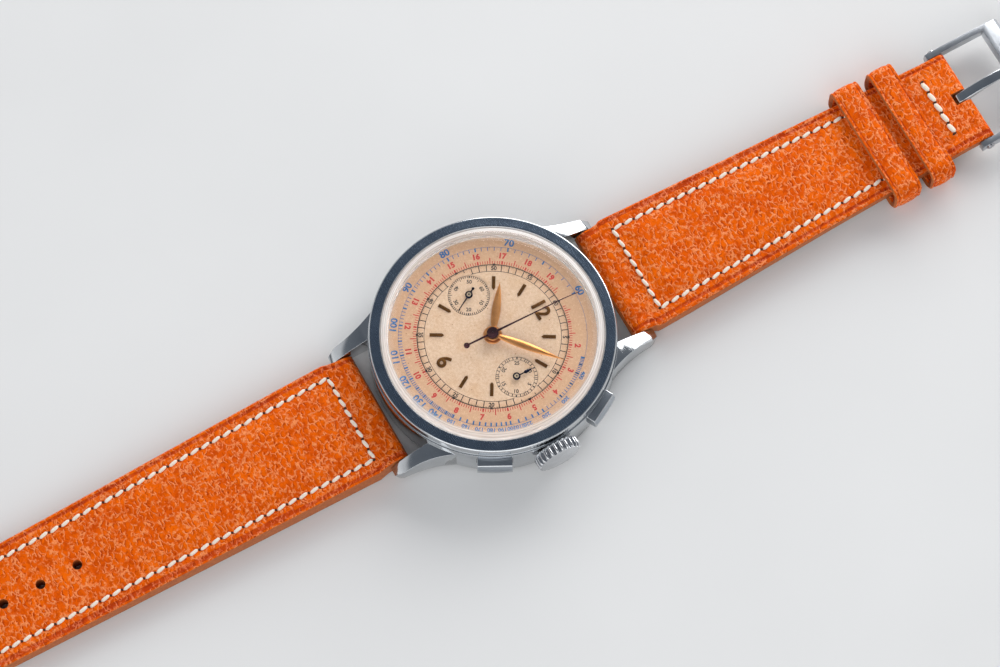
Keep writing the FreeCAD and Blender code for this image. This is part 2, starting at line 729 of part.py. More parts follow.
def hairspring():
    """Flat spiral ribbon from the staff to the stud on the cock."""
    steps = hair_turns * 12
    inside, outside = [], []
    for step in range(steps + 1):
        share = step / steps
        radius = hair_inner + (hair_outer - hair_inner) * share
        turn = hair_end_angle - (1 - share) * hair_turns * 360
        inside.append(polar(radius - 0.04, turn, balance_at))
        outside.append(polar(radius + 0.04, turn, balance_at))
    return prism(inside + outside[::-1], hair_low, hair_high)


# ================================================================ winding
def ratchet_wheel():
    wheel = gear(ratchet_teeth, winding_module, winding_low, winding_high, barrel_at, ratchet_phase)
    return wheel.cut(ratchet_square(winding_low, winding_high))


def crown_wheel():
    wheel = gear(crown_teeth, winding_module, winding_low, winding_high, crown_wheel_at)
    return wheel.cut(hole(post_radius + shaft_gap, winding_low, winding_high, crown_wheel_at))


def click():
    """Sprung pawl whose nose lies just outside the ratchet wheel's teeth."""
    reach = math.dist(barrel_at, click_pivot) - gear_reach(ratchet_teeth, winding_module) - winding_module
    toward = bearing(click_pivot, barrel_at)
    points = [polar(0.55, toward + turn, click_pivot) for turn in (60, 120, 180, 240, 300)]
    points += [polar(reach - 0.15, toward + 3, click_pivot), polar(reach - 0.15, toward + 18, click_pivot)]
    return prism(points, winding_low, winding_high).cut(
        hole(post_radius + shaft_gap, winding_low, winding_high, click_pivot, 8))


def winding_pinion():
    module = 2 * winding_tip / (winding_teeth + 1.6)
    pinion = gear(winding_teeth, module, 0, winding_end - winding_start, (0, 0), 180 / winding_teeth)
    return lying(pinion, winding_start).cut(bored(stem_radius + shaft_gap, winding_start, winding_end))


def winding_stem():
    half = stem_square / 2
    square = block(stem_end, winding_start - 0.1, -half, half, control_z - half, control_z + half)
    return joined([square, rod(stem_radius, winding_start - 0.1, crown_start + crown_hollow)])


def crown():
    """Fluted barrel with a raised end, hollow over its tube."""
    start, rim = crown_start, crown_start + crown_length
    points = []
    share = 360 / crown_flutes
    for flute in range(crown_flutes):
        points.append(polar(crown_radius, (flute - 0.25) * share))
        points.append(polar(crown_radius, (flute + 0.25) * share))
        points.append(polar(crown_radius - crown_flute_depth, (flute + 0.5) * share))
    fluted = prism(points, start, rim)
    smooth = crown_radius - crown_flute_depth - part_gap
    cap = turned([(0, rim), (smooth, rim), (crown_flat, rim + crown_dome), (0, rim + crown_dome)])
    body = joined([fluted, cap]).cut(hole(tube_radius + part_gap, start, start + crown_hollow))
    return lying(body, 0)


# ================================================================ chronograph works
def heart(largest, smallest, low, high, centre):
    """Heart cam with its notch towards -Y."""
    sides = 14
    points = []
    for step in range(sides):
        share = abs(step - sides / 2) / (sides / 2)
        points.append(polar(largest + (smallest - largest) * share, -90 + step * 360 / sides, centre))
    return prism(points, low, high)


def cam_wheel(teeth, module, phase, radius, top, centre):
    """Toothed wheel with a heart cam under it, on one long arbor up to its hand."""
    wheel = gear(teeth, module, wheel_low, wheel_high, centre, phase)
    boss = pin(smallest_cam, heart_high, wheel_low, centre)
    cam = heart(largest_cam, smallest_cam, heart_low, heart_high, centre)
    return joined([wheel, boss, cam, pin(radius, steady_low, top, centre)])


smallest_cam, largest_cam = 0.42, 0.95


def chronograph_runner():
    return cam_wheel(runner_teeth, runner_module, runner_phase, runner_radius, sweep_hand_z, (0, 0))


def minute_counter_wheel():
    return cam_wheel(counter_teeth, counter_module, 0, arbor_radius, small_hand_z, counter_at)


column_radius, column_count = 1.25, 6


def coupling_lever():
    """Carries the coupling wheel; its far end lies beside the column wheel."""
    beak = polar(column_radius + 2.4, 190, column_at)
    pieces = [hole(0.9, lever_low, lever_high, fourth_at, 8),
              strut(fourth_at, coupling_at, 0.8, lever_low, lever_high),
              strut(coupling_at, beak, 0.6, lever_low, lever_high),
              pin(arbor_radius, wheel_low, lever_high, coupling_at)]
    return joined(pieces).cut(hole(coupling_boss_radius + shaft_gap, lever_low, lever_high, fourth_at))


def coupling_wheel():
    wheel = gear(coupling_teeth, runner_module, wheel_low, wheel_high, coupling_at, coupling_phase)
    return wheel.cut(hole(arbor_radius + shaft_gap, wheel_low, wheel_high, coupling_at))


def column_wheel():
    """Ratchet of twice the columns' number, with the columns standing towards the case back."""
    points = []
    teeth = 2 * column_count
    for tooth in range(teeth):
        turn = tooth * 360 / teeth
        points.append(polar(column_radius + 0.25, turn, column_at))
        points.append(polar(column_radius, turn + 3, column_at))
    pieces = [prism(points, winding_low, winding_high)]
    inner = post_radius + 0.4
    half = 360 / column_count / 4
    for column in range(column_count):
        turn = column * 360 / column_count
        corners = [polar(inner, turn - half, column_at), polar(column_radius, turn - half, column_at),
                   polar(column_radius, turn + half, column_at), polar(inner, turn + half, column_at)]
        pieces.append(prism(corners, heart_low, winding_low))
    return joined(pieces).cut(hole(post_radius + shaft_gap, winding_low, winding_high, column_at))


def press_tab(low, sign):
    """Upright tab that the pusher's pin presses, at the height of the controls."""
    half = tab_width / 2
    return at_pusher(block(tab_radius - tab_depth, tab_radius, -half, half, low, control_z + 0.45), sign)


def arc_arm(inner, outer, start, end, low, high):
    """Arm that follows a circle round the centre in four straight steps."""
    turns = [start + (end - start) * step / 4 for step in range(5)]
    return prism([polar(outer, turn) for turn in turns] + [polar(inner, turn) for turn in turns[::-1]],
                 low, high)


arm_width = 1.1            # of the operating lever


def operating_lever():
    """Lies along the movement's edge from its pivot to the start pusher; its hook faces the column wheel."""
    outer, inner = tab_radius, tab_radius - arm_width
    arm = arc_arm(inner, outer - 0.2, pusher_angle - 3, 72, lever_low, lever_high)
    hook = strut(polar(inner + 0.3, 52), polar(inner - 0.3, 49), 0.4, lever_low, lever_high)
    shape = joined([arm, hook, press_tab(lever_low, 1)])
    return shape.cut(hole(post_radius + shaft_gap, lever_low, lever_high, operating_pivot, 8))


hammer_lift = 0.08         # radians that the hammer turns for the whole travel of its pusher


def reset_hammer():
    """Two-faced hammer under both heart cams, with a tail and tab at the reset pusher."""
    low, high = heart_low, heart_high
    strike = largest_cam + part_gap
    drops = [strike + (hammer_pivot[0] - centre[0]) * hammer_lift for centre in ((0, 0), counter_at)]
    left, right = 0, counter_at[0]
    depth = 0.9
    bar = prism([(left - 0.7, -drops[0]), (left + 0.7, -drops[0]), (left + 0.7, -drops[0] - depth),
                 (right - 0.7, -drops[1] - depth), (right - 0.7, -drops[1]), (right + 0.7, -drops[1]),
                 (hammer_pivot[0] + 0.6, hammer_pivot[1] + 0.6), (hammer_pivot[0] + 0.7, hammer_pivot[1] - 0.6),
                 (right + 0.7, -drops[1] - 2 * depth), (left - 0.7, -drops[0] - 2 * depth)], low, high)
    tail = strut(hammer_pivot, polar(tab_radius - 0.4, -pusher_angle), 0.9, low, high)
    shape = joined([bar, tail, press_tab(low, -1)])
    return shape.cut(hole(post_radius + shaft_gap, low, high, hammer_pivot, 8))


pin_gap = {1: part_gap, -1: 0.66}    # rest gap between each pin and its tab


def pusher(sign):
    """Rectangular cap with a softly convex, leaning face, and the pin that works the lever."""
    half = pusher_width / 2
    back = pusher_face - pusher_depth
    front = pusher_face - pusher_crown
    low, high = control_z - pusher_height / 2, control_z + pusher_height / 2
    plan = wire([V(back, -half, low), V(front, -half, low)],
                [V(front, -half, low), V(pusher_face, 0, low), V(front, half, low)],
                [V(front, half, low), V(back, half, low)], [V(back, half, low), V(back, -half, low)])
    cap = Part.Face(plan).extrude(V(0, 0, high - low))
    side = [V(back, -half, low), V(pusher_face + pusher_bevel, -half, low),
            V(front - pusher_bevel, -half, high), V(back, -half, high)]
    cap = cap.common(Part.Face(Part.makePolygon(side + side[:1])).extrude(V(0, pusher_width, 0)))
    start = tab_radius + pin_gap[sign]
    shank = lying(pin(pusher_pin_radius, 0, back - start), start)
    return at_pusher(joined([cap, shank]), sign)


def start_pusher():
    return pusher(1)


def reset_pusher():
    return pusher(-1)


spring_sweep = 14.0        # degrees from a pusher to the root of its spring
spring_thickness = 0.16


def pusher_springs():
    """Two flat blades on the movement's edge that press the levers back out."""
    blades = []
    inner = tab_radius - arm_width - 0.3
    for sign, low, high in ((1, lever_low, lever_high), (-1, heart_low, heart_high)):
        held, free = sign * (pusher_angle + spring_sweep), sign * (pusher_angle - 2)
        blade = strut(polar(inner - 0.5, held), polar(inner - 0.3, free), spring_thickness, low, high)
        root = strut(polar(inner - 0.8, held), polar(inner - 0.2, held), 0.6, low, bridge_z)
        blades.append(joined([blade, root]))
    return Part.makeCompound(blades)


# ================================================================ dial and hands
def dial():
    """Sunk for the two sub-dials; its edge lies between the middle case and the crystal."""
    plate = pin(bezel_opening - part_gap, dial_z, face_z, sides=72)
    cuts = [hole(hour_radius + 0.15, dial_z, face_z, sides=16)]
    for place in (fourth_at, counter_at):
        cuts.append(hole(arbor_radius + 0.12, dial_z, face_z, place))
        cuts.append(pin(subdial_radius, face_z - subdial_sink, face_z, place, 36))
    return without(plate, cuts)


def hour_markers():
    """Pointed batons at every hour but 12, 3, 6 and 9."""
    half = marker_width / 2
    markers = []
    for hour in (1, 2, 4, 5, 7, 8, 10, 11):
        points = [(-half, marker_outer), (half, marker_outer), (half, marker_inner + marker_point),
                  (0, marker_inner), (-half, marker_inner + marker_point)]
        markers.append(rotated(prism(points, face_z, face_z + marker_height), -30 * hour))
    return Part.makeCompound(markers)


def leaf_hand(length, boss, width, bore, low, angle):
    """Leaf-shaped hand pointing to 12, turned to its place."""
    high = low + hand_thickness
    root = boss * 0.8
    stem = stem_half
    outline = wire([V(stem, root, low), V(width / 2, length * 0.55, low), V(0.03, length, low)],
                   [V(0.03, length, low), V(-0.03, length, low)],
                   [V(-0.03, length, low), V(-width / 2, length * 0.55, low), V(-stem, root, low)],
                   [V(-stem, root, low), V(stem, root, low)])
    leaf = Part.Face(outline).extrude(V(0, 0, hand_thickness))
    return rotated(joined([leaf, disc(boss, low, high)]).cut(hole(bore, low, high)), -angle)


def hour_hand():
    return leaf_hand(hour_length, hour_boss, hour_leaf, hour_radius, hour_hand_z, hour_angle)


def minute_hand():
    return leaf_hand(minute_length, minute_boss, minute_leaf, cannon_radius, minute_hand_z, minute_angle)


def sweep_seconds_hand():
    """Needle with a disc on its tail; the last stretch bends down towards the track."""
    low, high = sweep_hand_z, sweep_hand_z + hand_thickness
    bend = sweep_length * 0.8
    drop = 0.55
    plan = prism([(-sweep_point, sweep_length), (sweep_point, sweep_length), (sweep_root, 0),
                  (0.14, -sweep_tail), (-0.14, -sweep_tail), (-sweep_root, 0)], low - drop - 1, high + 1)
    side = [(-sweep_tail, low), (bend, low), (sweep_length, low - drop), (sweep_length, high - drop),
            (bend, high), (-sweep_tail, high)]
    needle = plan.common(across(lines(side), -1, 2))
    hand = joined([needle, disc(sweep_boss, low, high), pin(0.42, low, high, (0, -sweep_tail), 16)])
    return rotated(hand, -sweep_angle)


def small_hand(centre, length, tail, angle):
    """Slim hand of a sub-dial, with a boss and a short tail."""
    low, high = small_hand_z, small_hand_z + hand_thickness
    x, y = centre
    needle = prism([(x - 0.08, y + length), (x + 0.08, y + length), (x + 0.15, y), (x + 0.2, y - tail),
                    (x - 0.2, y - tail), (x - 0.15, y)], low, high)
    return rotated(joined([needle, pin(small_boss, low, high, centre, 16)]), -angle, centre)


def small_seconds_hand():
    return small_hand(fourth_at, seconds_length, seconds_tail, seconds_angle)


def minute_counter_hand():
    return small_hand(counter_at, counter_length, counter_tail, counter_angle)


# ================================================================ straps, keepers and buckle
nose_radius = strap_thickness / 2
fold_radius = strap_end_thickness / 2
fold_z = strap_lift + fold_radius
strap_top_z, strap_low_z = bar_z + nose_radius, bar_z - nose_radius
shoulder_y = bar_reach + strap_shoulder


def cross_hole(reach, height, radius):
    """Cutter right across a strap or the buckle, round a bar."""
    cutter = lying(hole(radius, 0, 2 * strap_width), -strap_width, height)
    cutter.translate(V(0, reach, 0))
    return cutter


def strap_plan(outline, top):
    """Upright solid between the lugs and wider beyond them, closed by the given right-hand points."""
    inner = lug_gap / 2 - strap_gap
    right = [(inner, bar_reach - nose_radius), (inner, shoulder_y), (strap_width / 2, shoulder_y)] + outline
    return prism(right + [(-x, y) for x, y in reversed(right) if x > 0], -1, top + 1)


def half_round(radius):
    """Steps of a rounded end, from its top to its underside."""
    return [polar(radius, turn) for turn in (90, 45, 0, -45, -90)]


def nose(low_z, top):
    """Rounded end of a strap about its spring bar, from the underside up."""
    middle, radius = (low_z + top) / 2, (top - low_z) / 2
    return [(bar_reach - dy, middle + dz) for dy, dz in half_round(radius)[::-1]]


def strap_tail_side():
    """The long half: padded at the lugs, thinner and pointed at its tail, with the buckle holes."""
    top, low_z, end = strap_top_z, strap_low_z, tail_reach
    thin = low_z + strap_end_thickness + tail_swell
    pad_end, thin_start = (bar_reach + pad_run, top), (hole_first, thin)
    side = lines(nose(low_z, top) + [pad_end, thin_start, (end, thin - 0.2), (end, low_z)])
    half = strap_tail_width / 2
    tip = [(half, end - tip_run), (half * 0.86, end - tip_run / 2), (half * 0.5, end - tip_run / 8), (0, end)]
    strap = across(side, -strap_width, 2 * strap_width).common(strap_plan(tip, top))
    cuts = [cross_hole(bar_reach, bar_z, bar_radius + part_gap)]
    for number in range(hole_count):
        cuts.append(hole(hole_radius, -1, top, (0, hole_first + number * hole_pitch), 8))
    return without(strap, cuts).mirror(V(0, 0, 0), V(0, 1, 0))


def strap_buckle_side():
    """The short half: folded round the buckle bar, with a slot there for the tongue."""
    top, low_z, end_top = strap_top_z, strap_low_z, strap_lift + strap_end_thickness
    rise = sliding_keeper_place - fall_run
    fold = [(buckle_reach + dy, fold_z + dz) for dy, dz in half_round(fold_radius)]
    side = lines(nose(low_z, top) + [(bar_reach + pad_run, top), (rise, end_top)] + fold
                 + [(rise, strap_lift), (bar_reach + belly_run, low_z)])
    end = buckle_reach + fold_radius + 1
    narrow = buckle_inner / 2 - strap_gap
    strap = across(side, -strap_width, 2 * strap_width).common(
        strap_plan([(narrow, buckle_reach - fold_run), (narrow, end)], end_top))
    slot = block(-tongue_slot / 2, tongue_slot / 2, buckle_reach - slot_run, end, -1, end_top + 1)
    return without(strap, [cross_hole(bar_reach, bar_z, bar_radius + part_gap),
                           cross_hole(buckle_reach, fold_z, buckle_bar_radius + part_gap), slot])


def strap_half_width(place):
    """Half width of the buckle half at a distance from the centre."""
    narrow = buckle_inner / 2 - strap_gap
    share = (place - shoulder_y) / (buckle_reach - fold_run - shoulder_y)
    return strap_width / 2 + (narrow - strap_width / 2) * share


def keeper(place, width):
    """Closed leather loop round the strap, with bevelled corners."""
    inner = strap_half_width(sliding_keeper_place) + keeper_side_gap
    outer = inner + keeper_wall
    low, high = strap_lift - keeper_gap, strap_lift + strap_end_thickness + keeper_gap
    bottom, top, bevel = low - keeper_wall, high + keeper_wall, keeper_bevel
    section = [(outer - bevel, bottom), (outer, bottom + bevel), (outer, top - bevel), (outer - bevel, top)]
    corners = [V(x, place, z) for x, z in section] + [V(-x, place, z) for x, z in reversed(section)]
    body = Part.Face(Part.makePolygon(corners + corners[:1])).extrude(V(0, width, 0))
    return body.cut(block(-inner, inner, place, place + width, low, high))


def fixed_keeper():
    return keeper(fixed_keeper_place, fixed_keeper_width)


def sliding_keeper():
    return keeper(sliding_keeper_place, sliding_keeper_width)


def buckle_frame():
    """Open frame: two rails with eyes on the bar, and a broad crossbar that the tongue rests on."""
    inner = buckle_inner / 2
    outer = inner + buckle_rail
    ear, end = buckle_reach - buckle_ear, buckle_reach + buckle_length
    cross = end - buckle_crossbar
    low, high = fold_z - buckle_height / 2, fold_z + buckle_height / 2
    middle = (ear + end) / 2
    plan = block(-outer, outer, ear, end, low, high).cut(block(-inner, inner, ear, cross, low, high))
    side = [[(ear, fold_z - 0.8), (ear, fold_z + 0.8)],
            [(ear, fold_z + 0.8), (middle, high), (end - 0.6, fold_z + 0.8)],
            [(end - 0.6, fold_z + 0.8), (end, fold_z + 0.2)], [(end, fold_z + 0.2), (end, fold_z - 0.3)],
            [(end, fold_z - 0.3), (end - 0.6, fold_z - 0.8)], [(end - 0.6, fold_z - 0.8), (ear, fold_z - 0.8)]]
    shape = plan.common(across(side, -outer, 2 * outer))
    return shape.cut(cross_hole(buckle_reach, fold_z, buckle_bar_radius + shaft_gap))


def buckle_bar():
    half = buckle_inner / 2 + buckle_rail + 0.3
    return Part.makeCylinder(buckle_bar_radius, 2 * half, V(-half, buckle_reach, fold_z), V(1, 0, 0))


def buckle_tongue():
    """Loops round the bar, then rises in a gentle bow and lies on the crossbar."""
    half = tongue_width / 2
    end = buckle_reach + buckle_length - 0.5
    eye = buckle_bar_radius + shaft_gap + 0.5
    rest = fold_z + buckle_height / 2 + part_gap
    top = rest + tongue_thickness
    root, brow = (buckle_reach, fold_z), (buckle_reach, fold_z + eye * 0.97)
    side = [[root, brow], [brow, (buckle_reach + 5, top + 0.15), (end, top - 0.35)],
            [(end, top - 0.35), (end, rest)],
            [(end, rest), (buckle_reach + 3.2, rest), (buckle_reach + 1, fold_z)],
            [(buckle_reach + 1, fold_z), root]]
    loop = lying(pin(eye, 0, tongue_width, sides=16), -half, fold_z)
    loop.translate(V(0, buckle_reach, 0))
    return joined([loop, across(side, -half, tongue_width)]).cut(
        cross_hole(buckle_reach, fold_z, buckle_bar_radius + shaft_gap))


NODES = [mid_case, bezel, crystal, case_back, crown_tube, spring_bars, mainplate, barrel_bridge, train_bridge,
         balance_cock, chronograph_bridge, dial, hour_markers, hour_wheel, hour_hand, cannon_pinion, minute_hand,
         centre_wheel, minute_wheel, third_wheel, fourth_wheel, small_seconds_hand, escape_wheel, pallet_fork,
         balance_wheel, hairspring, barrel, barrel_arbor, ratchet_wheel, crown_wheel, click, winding_stem, crown,
         winding_pinion, column_wheel, operating_lever, reset_hammer, coupling_lever, coupling_wheel,
         chronograph_runner, sweep_seconds_hand, minute_counter_wheel, minute_counter_hand, start_pusher,
         reset_pusher, pusher_springs, strap_buckle_side, strap_tail_side, fixed_keeper, sliding_keeper,
         buckle_frame, buckle_tongue, buckle_bar]

os.makedirs("parts", exist_ok=True)
for node in NODES:
    shape = node()
    print(node.__name__, "solids", len(shape.Solids), "valid", shape.isValid(), "volume", round(shape.Volume, 3))
    shape.exportStep("parts/" + node.__name__ + ".step")
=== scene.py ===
import json
from math import atan2, copysign, cos, dist, exp, pi, radians, sin, sqrt
import bpy
from mathutils import Matrix, Vector

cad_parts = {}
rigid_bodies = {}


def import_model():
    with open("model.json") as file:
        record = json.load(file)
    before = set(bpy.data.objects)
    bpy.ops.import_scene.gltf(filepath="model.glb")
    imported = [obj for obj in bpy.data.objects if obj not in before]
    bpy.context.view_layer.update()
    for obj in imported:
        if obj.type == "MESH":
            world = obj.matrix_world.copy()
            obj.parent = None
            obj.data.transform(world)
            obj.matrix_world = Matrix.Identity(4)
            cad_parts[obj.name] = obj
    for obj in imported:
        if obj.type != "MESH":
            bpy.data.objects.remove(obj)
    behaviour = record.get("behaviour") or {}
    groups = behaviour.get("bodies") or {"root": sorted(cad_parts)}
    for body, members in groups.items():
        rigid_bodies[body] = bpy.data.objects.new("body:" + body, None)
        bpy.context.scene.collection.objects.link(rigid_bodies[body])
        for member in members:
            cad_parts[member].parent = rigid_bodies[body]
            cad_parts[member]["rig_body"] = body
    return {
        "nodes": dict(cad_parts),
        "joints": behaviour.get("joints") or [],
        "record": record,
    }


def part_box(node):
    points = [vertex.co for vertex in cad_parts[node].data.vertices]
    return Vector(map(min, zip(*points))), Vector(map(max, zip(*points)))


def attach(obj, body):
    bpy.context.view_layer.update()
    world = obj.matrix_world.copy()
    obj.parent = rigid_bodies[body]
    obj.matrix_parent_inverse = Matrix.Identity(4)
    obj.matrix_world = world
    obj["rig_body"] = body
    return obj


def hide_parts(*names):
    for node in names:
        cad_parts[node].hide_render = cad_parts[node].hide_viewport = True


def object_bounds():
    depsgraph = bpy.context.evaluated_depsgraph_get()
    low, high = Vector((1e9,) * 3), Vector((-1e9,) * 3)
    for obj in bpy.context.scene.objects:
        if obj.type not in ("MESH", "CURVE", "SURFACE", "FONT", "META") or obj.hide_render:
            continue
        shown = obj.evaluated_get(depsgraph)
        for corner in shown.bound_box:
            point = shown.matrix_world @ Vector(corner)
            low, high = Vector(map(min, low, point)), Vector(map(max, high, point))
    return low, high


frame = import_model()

cad_low, cad_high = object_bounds()
nodes = frame["nodes"]
joints = {joint["name"]: joint for joint in frame["joints"]}
mm = 0.001


# ---- places read from the frame
def place_of(joint):
    """Pivot of a joint, in millimetres."""
    return [value / mm for value in joints[joint]["pos_m"]]


def corners(node):
    """Lowest and highest corner of a node's box, in millimetres."""
    return [Vector(corner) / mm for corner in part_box(node)]


def top_of(node):
    return corners(node)[1].z


def low_of(node):
    return corners(node)[0].z


def heading(node, centre=(0, 0)):
    """Clockwise angle from 12 o'clock, and reach, of a hand's farthest point from its arbor."""
    middle = Vector(centre) * mm
    tip = max((v.co.xy - middle for v in nodes[node].data.vertices), key=lambda reach: reach.length)
    return atan2(tip.x, tip.y), tip.length / mm


bar_reach = place_of("buckle_strap_swing")[1]
buckle_reach, fold_z = place_of("frame_swing")[1:]
seconds_at = place_of("seconds_turn")[:2]
counter_at = place_of("counter_turn")[:2]
marker_height = 0.12
face_z = top_of("hour_markers") - marker_height
dial_radius, crystal_radius, bezel_radius = (corners(node)[1].x for node in ("dial", "crystal", "bezel"))


# ---- modelling helpers
def clear_selection():
    if bpy.context.mode != "OBJECT":
        bpy.ops.object.mode_set(mode="OBJECT")
    bpy.ops.object.select_all(action="DESELECT")


def pick(piece):
    clear_selection()
    piece.select_set(True)
    bpy.context.view_layer.objects.active = piece


def modified(piece, kind, **values):
    """The piece with one modifier of these values worked into its mesh."""
    modifier = piece.modifiers.new(kind, kind)
    for key, value in values.items():
        setattr(modifier, key, value)
    pick(piece)
    bpy.ops.object.modifier_apply(modifier=modifier.name)
    return piece


def edit(piece, action="SELECT"):
    """Opens a piece's mesh, with all of it selected or none."""
    pick(piece)
    bpy.ops.object.mode_set(mode="EDIT")
    bpy.ops.mesh.select_all(action=action)


def moved(piece, matrix):
    """The piece with its mesh put through the matrix."""
    piece.data.transform(matrix)
    return piece


def resized(piece, x, y, z):
    return moved(piece, Matrix.Diagonal((x, y, z, 1)))


def outward(piece):
    """Merges doubled points and turns every face outwards."""
    edit(piece)
    bpy.ops.mesh.remove_doubles(threshold=0.0005 * mm)
    bpy.ops.mesh.normals_make_consistent(inside=False)
    bpy.ops.object.mode_set(mode="OBJECT")
    return piece


def named(name):
    piece = bpy.context.object
    piece.name = piece.data.name = name
    return piece


def linked(name, data):
    """New object around its data, in the scene."""
    piece = bpy.data.objects.new(name, data)
    bpy.context.scene.collection.objects.link(piece)
    return piece


def primitive(kind, name, **values):
    """Basic mesh of this kind, with its place worked into its points."""
    clear_selection()
    getattr(bpy.ops.mesh, f"primitive_{kind}_add")(**values)
    pick(named(name))
    bpy.ops.object.transform_apply(location=True, rotation=True, scale=True)
    return bpy.context.object


def joined(pieces, name):
    """One piece from several."""
    clear_selection()
    for piece in pieces:
        piece.select_set(True)
    bpy.context.view_layer.objects.active = pieces[0]
    if len(pieces) > 1:
        bpy.ops.object.join()
    return named(name)


def loop_form(name, around, across, place):
    """Closed ring of around x across points, each put where place(turn, side) says, both from 0 to 1."""
    piece = primitive("torus", name, major_segments=around, minor_segments=across)
    for number, vertex in enumerate(piece.data.vertices):
        turn, side = divmod(number, across)
        vertex.co = Vector(place(turn / around, side / across)) * mm
    return outward(piece)


def lathe(name, profile, around=192, centre=(0, 0)):
    """Closed profile of (radius, height) points turned about an upright axis."""
    count = len(profile)

    def place(turn, side):
        radius, height = profile[round(side * count)]
        angle = 2 * pi * turn
        return centre[0] + radius * cos(angle), centre[1] + radius * sin(angle), height

    return loop_form(name, around, count, place)


def bar_form(name, sides, cuts, place):
    """Closed bar: sides points round it and cuts rings along it, put where place(side, run) says."""
    piece = primitive("cylinder", name, vertices=sides, radius=1, depth=1, location=(0, 0, 0.5))
    edit(piece, "DESELECT")
    bpy.ops.mesh.select_mode(type="EDGE")
    bpy.ops.object.mode_set(mode="OBJECT")
    points = piece.data.vertices
    for edge in piece.data.edges:
        low, high = (points[number].co.z for number in edge.vertices)
        edge.select = abs(high - low) > 0.5
    bpy.ops.object.mode_set(mode="EDIT")
    bpy.ops.mesh.subdivide(number_cuts=cuts)
    bpy.ops.object.mode_set(mode="OBJECT")
    for vertex in piece.data.vertices:
        side = atan2(vertex.co.y, vertex.co.x) / (2 * pi) % 1
        vertex.co = Vector(place(round(side * sides) / sides % 1, vertex.co.z)) * mm
    return outward(piece)


def copies(master, name, places):
    """The master at each matrix, as one piece; each copy has its own mesh."""
    pieces = [moved(linked(name, master.data.copy()), place) for place in places]
    bpy.data.objects.remove(master)
    return joined(pieces, name)


def at(x, y, z, turn=0.0):
    """Matrix of a place in millimetres, turned clockwise from 12 o'clock."""
    return Matrix.Translation(Vector((x, y, z)) * mm) @ Matrix.Rotation(-turn, 4, "Z")


def round_at(radius, angle, z, centre=(0, 0)):
    """Matrix of a place on a circle about a centre, at a clockwise angle, facing outwards."""
    return at(centre[0] + radius * sin(angle), centre[1] + radius * cos(angle), z, angle)


def box_form(name, width, length, height):
    """Flat box on z 0, centred in x and y."""
    return resized(primitive("cube", name, size=1, location=(0, 0, 0.5)), width * mm, length * mm, height * mm)


def ball(name, segments, rings, size):
    piece = primitive("uv_sphere", name, segments=segments, ring_count=rings, radius=0.5)
    return resized(piece, *(value * mm for value in size))


def cutter_rod(name, radius, depth, y):
    """Upright round cutter on the centre line, at a distance along it."""
    rod = primitive("cylinder", name, vertices=24, radius=radius * mm, depth=depth * mm)
    return moved(rod, at(0, y, 0))


def dress(piece, material, slot, body, *replaced):
    """Gives a piece its material and its body, and hides the CAD nodes it stands for; the slot is not used."""
    piece.data.materials.clear()
    piece.data.materials.append(material)
    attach(piece, body)
    if replaced:
        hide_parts(*replaced)
    return piece


def finish(piece, angle, material, slot, body, *replaced):
    """Shades the piece smooth over edges flatter than the angle, and dresses it."""
    pick(piece)
    bpy.ops.object.shade_smooth_by_angle(angle=radians(angle))
    return dress(piece, material, slot, body, *replaced)


def paint(piece, materials, choose):
    """Adds materials, and gives each face the one whose number choose(face) says."""
    for material in materials:
        piece.data.materials.append(material)
    for face in piece.data.polygons:
        face.material_index = int(choose(face))


def smooth_copy(node, material, slot, edge, angle=32, segments=2):
    """Merged, softly edged copy of a rigid CAD node, for clean reflections."""
    source = nodes[node]
    piece = linked(node + "_finish", source.data.copy())
    piece.data.materials.clear()
    edit(outward(piece))
    bpy.ops.mesh.dissolve_limited(angle_limit=radians(0.5))
    bpy.ops.object.mode_set(mode="OBJECT")
    modified(piece, "BEVEL", width=edge * mm, segments=segments, limit_method="ANGLE", angle_limit=radians(28),
             harden_normals=False)
    return finish(piece, angle, material, slot, source["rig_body"], node)


# ---- material helpers
def feed(tree, value, socket):
    """Wires a socket in, or sets a plain number, vector or colour."""
    if isinstance(value, bpy.types.NodeSocket):
        tree.links.new(value, socket)
    elif isinstance(value, tuple) and len(socket.default_value) == 4:
        socket.default_value = (*value, 1)
    else:
        socket.default_value = value


def set_up(tree, node, **values):
    """Sets a node's properties, and feeds its sockets where it has no such property."""
    for key, value in values.items():
        if hasattr(node, key):
            setattr(node, key, value)
        else:
            feed(tree, value, node.inputs[key.replace("_", " ")])
    return node


def add(tree, kind, **values):
    return set_up(tree, tree.nodes.new("ShaderNode" + kind), **values)


def new_material(name):
    """Material with its tree and shader."""
    material = bpy.data.materials.new(name)
    material.use_nodes = True
    return material, material.node_tree, material.node_tree.nodes["Principled BSDF"]


def ramp(tree, source, stops):
    """Colour ramp from (place, colour) stops; a number stands for a grey."""
    node = add(tree, "ValToRGB")
    while len(node.color_ramp.elements) < len(stops):
        node.color_ramp.elements.new(0.5)
    for element, (place, colour) in zip(node.color_ramp.elements, stops):
        element.position = place
        shade = colour if isinstance(colour, tuple) else (colour,) * 3
        element.color = (*shade, 1)
    return fed(tree, node, {0: source})


def fed(tree, node, values, output=0):
    """Feeds a node's sockets by their numbers, and gives one output."""
    for number, value in values.items():
        feed(tree, value, node.inputs[number])
    return node.outputs[output]


def mixed(tree, mask, first, second):
    """Colour between two, by a mask."""
    return fed(tree, add(tree, "Mix", data_type="RGBA"), {0: mask, 6: first, 7: second}, 2)


def blended(tree, share, first, second):
    """Shader between two, by a share."""
    return fed(tree, add(tree, "MixShader"), {0: share, 1: first, 2: second})


def maths(tree, operation, first, second, kind="Math"):
    return fed(tree, add(tree, kind, operation=operation), {0: first, 1: second})


def vectors(tree, operation, first, second):
    return maths(tree, operation, first, second, "VectorMath")


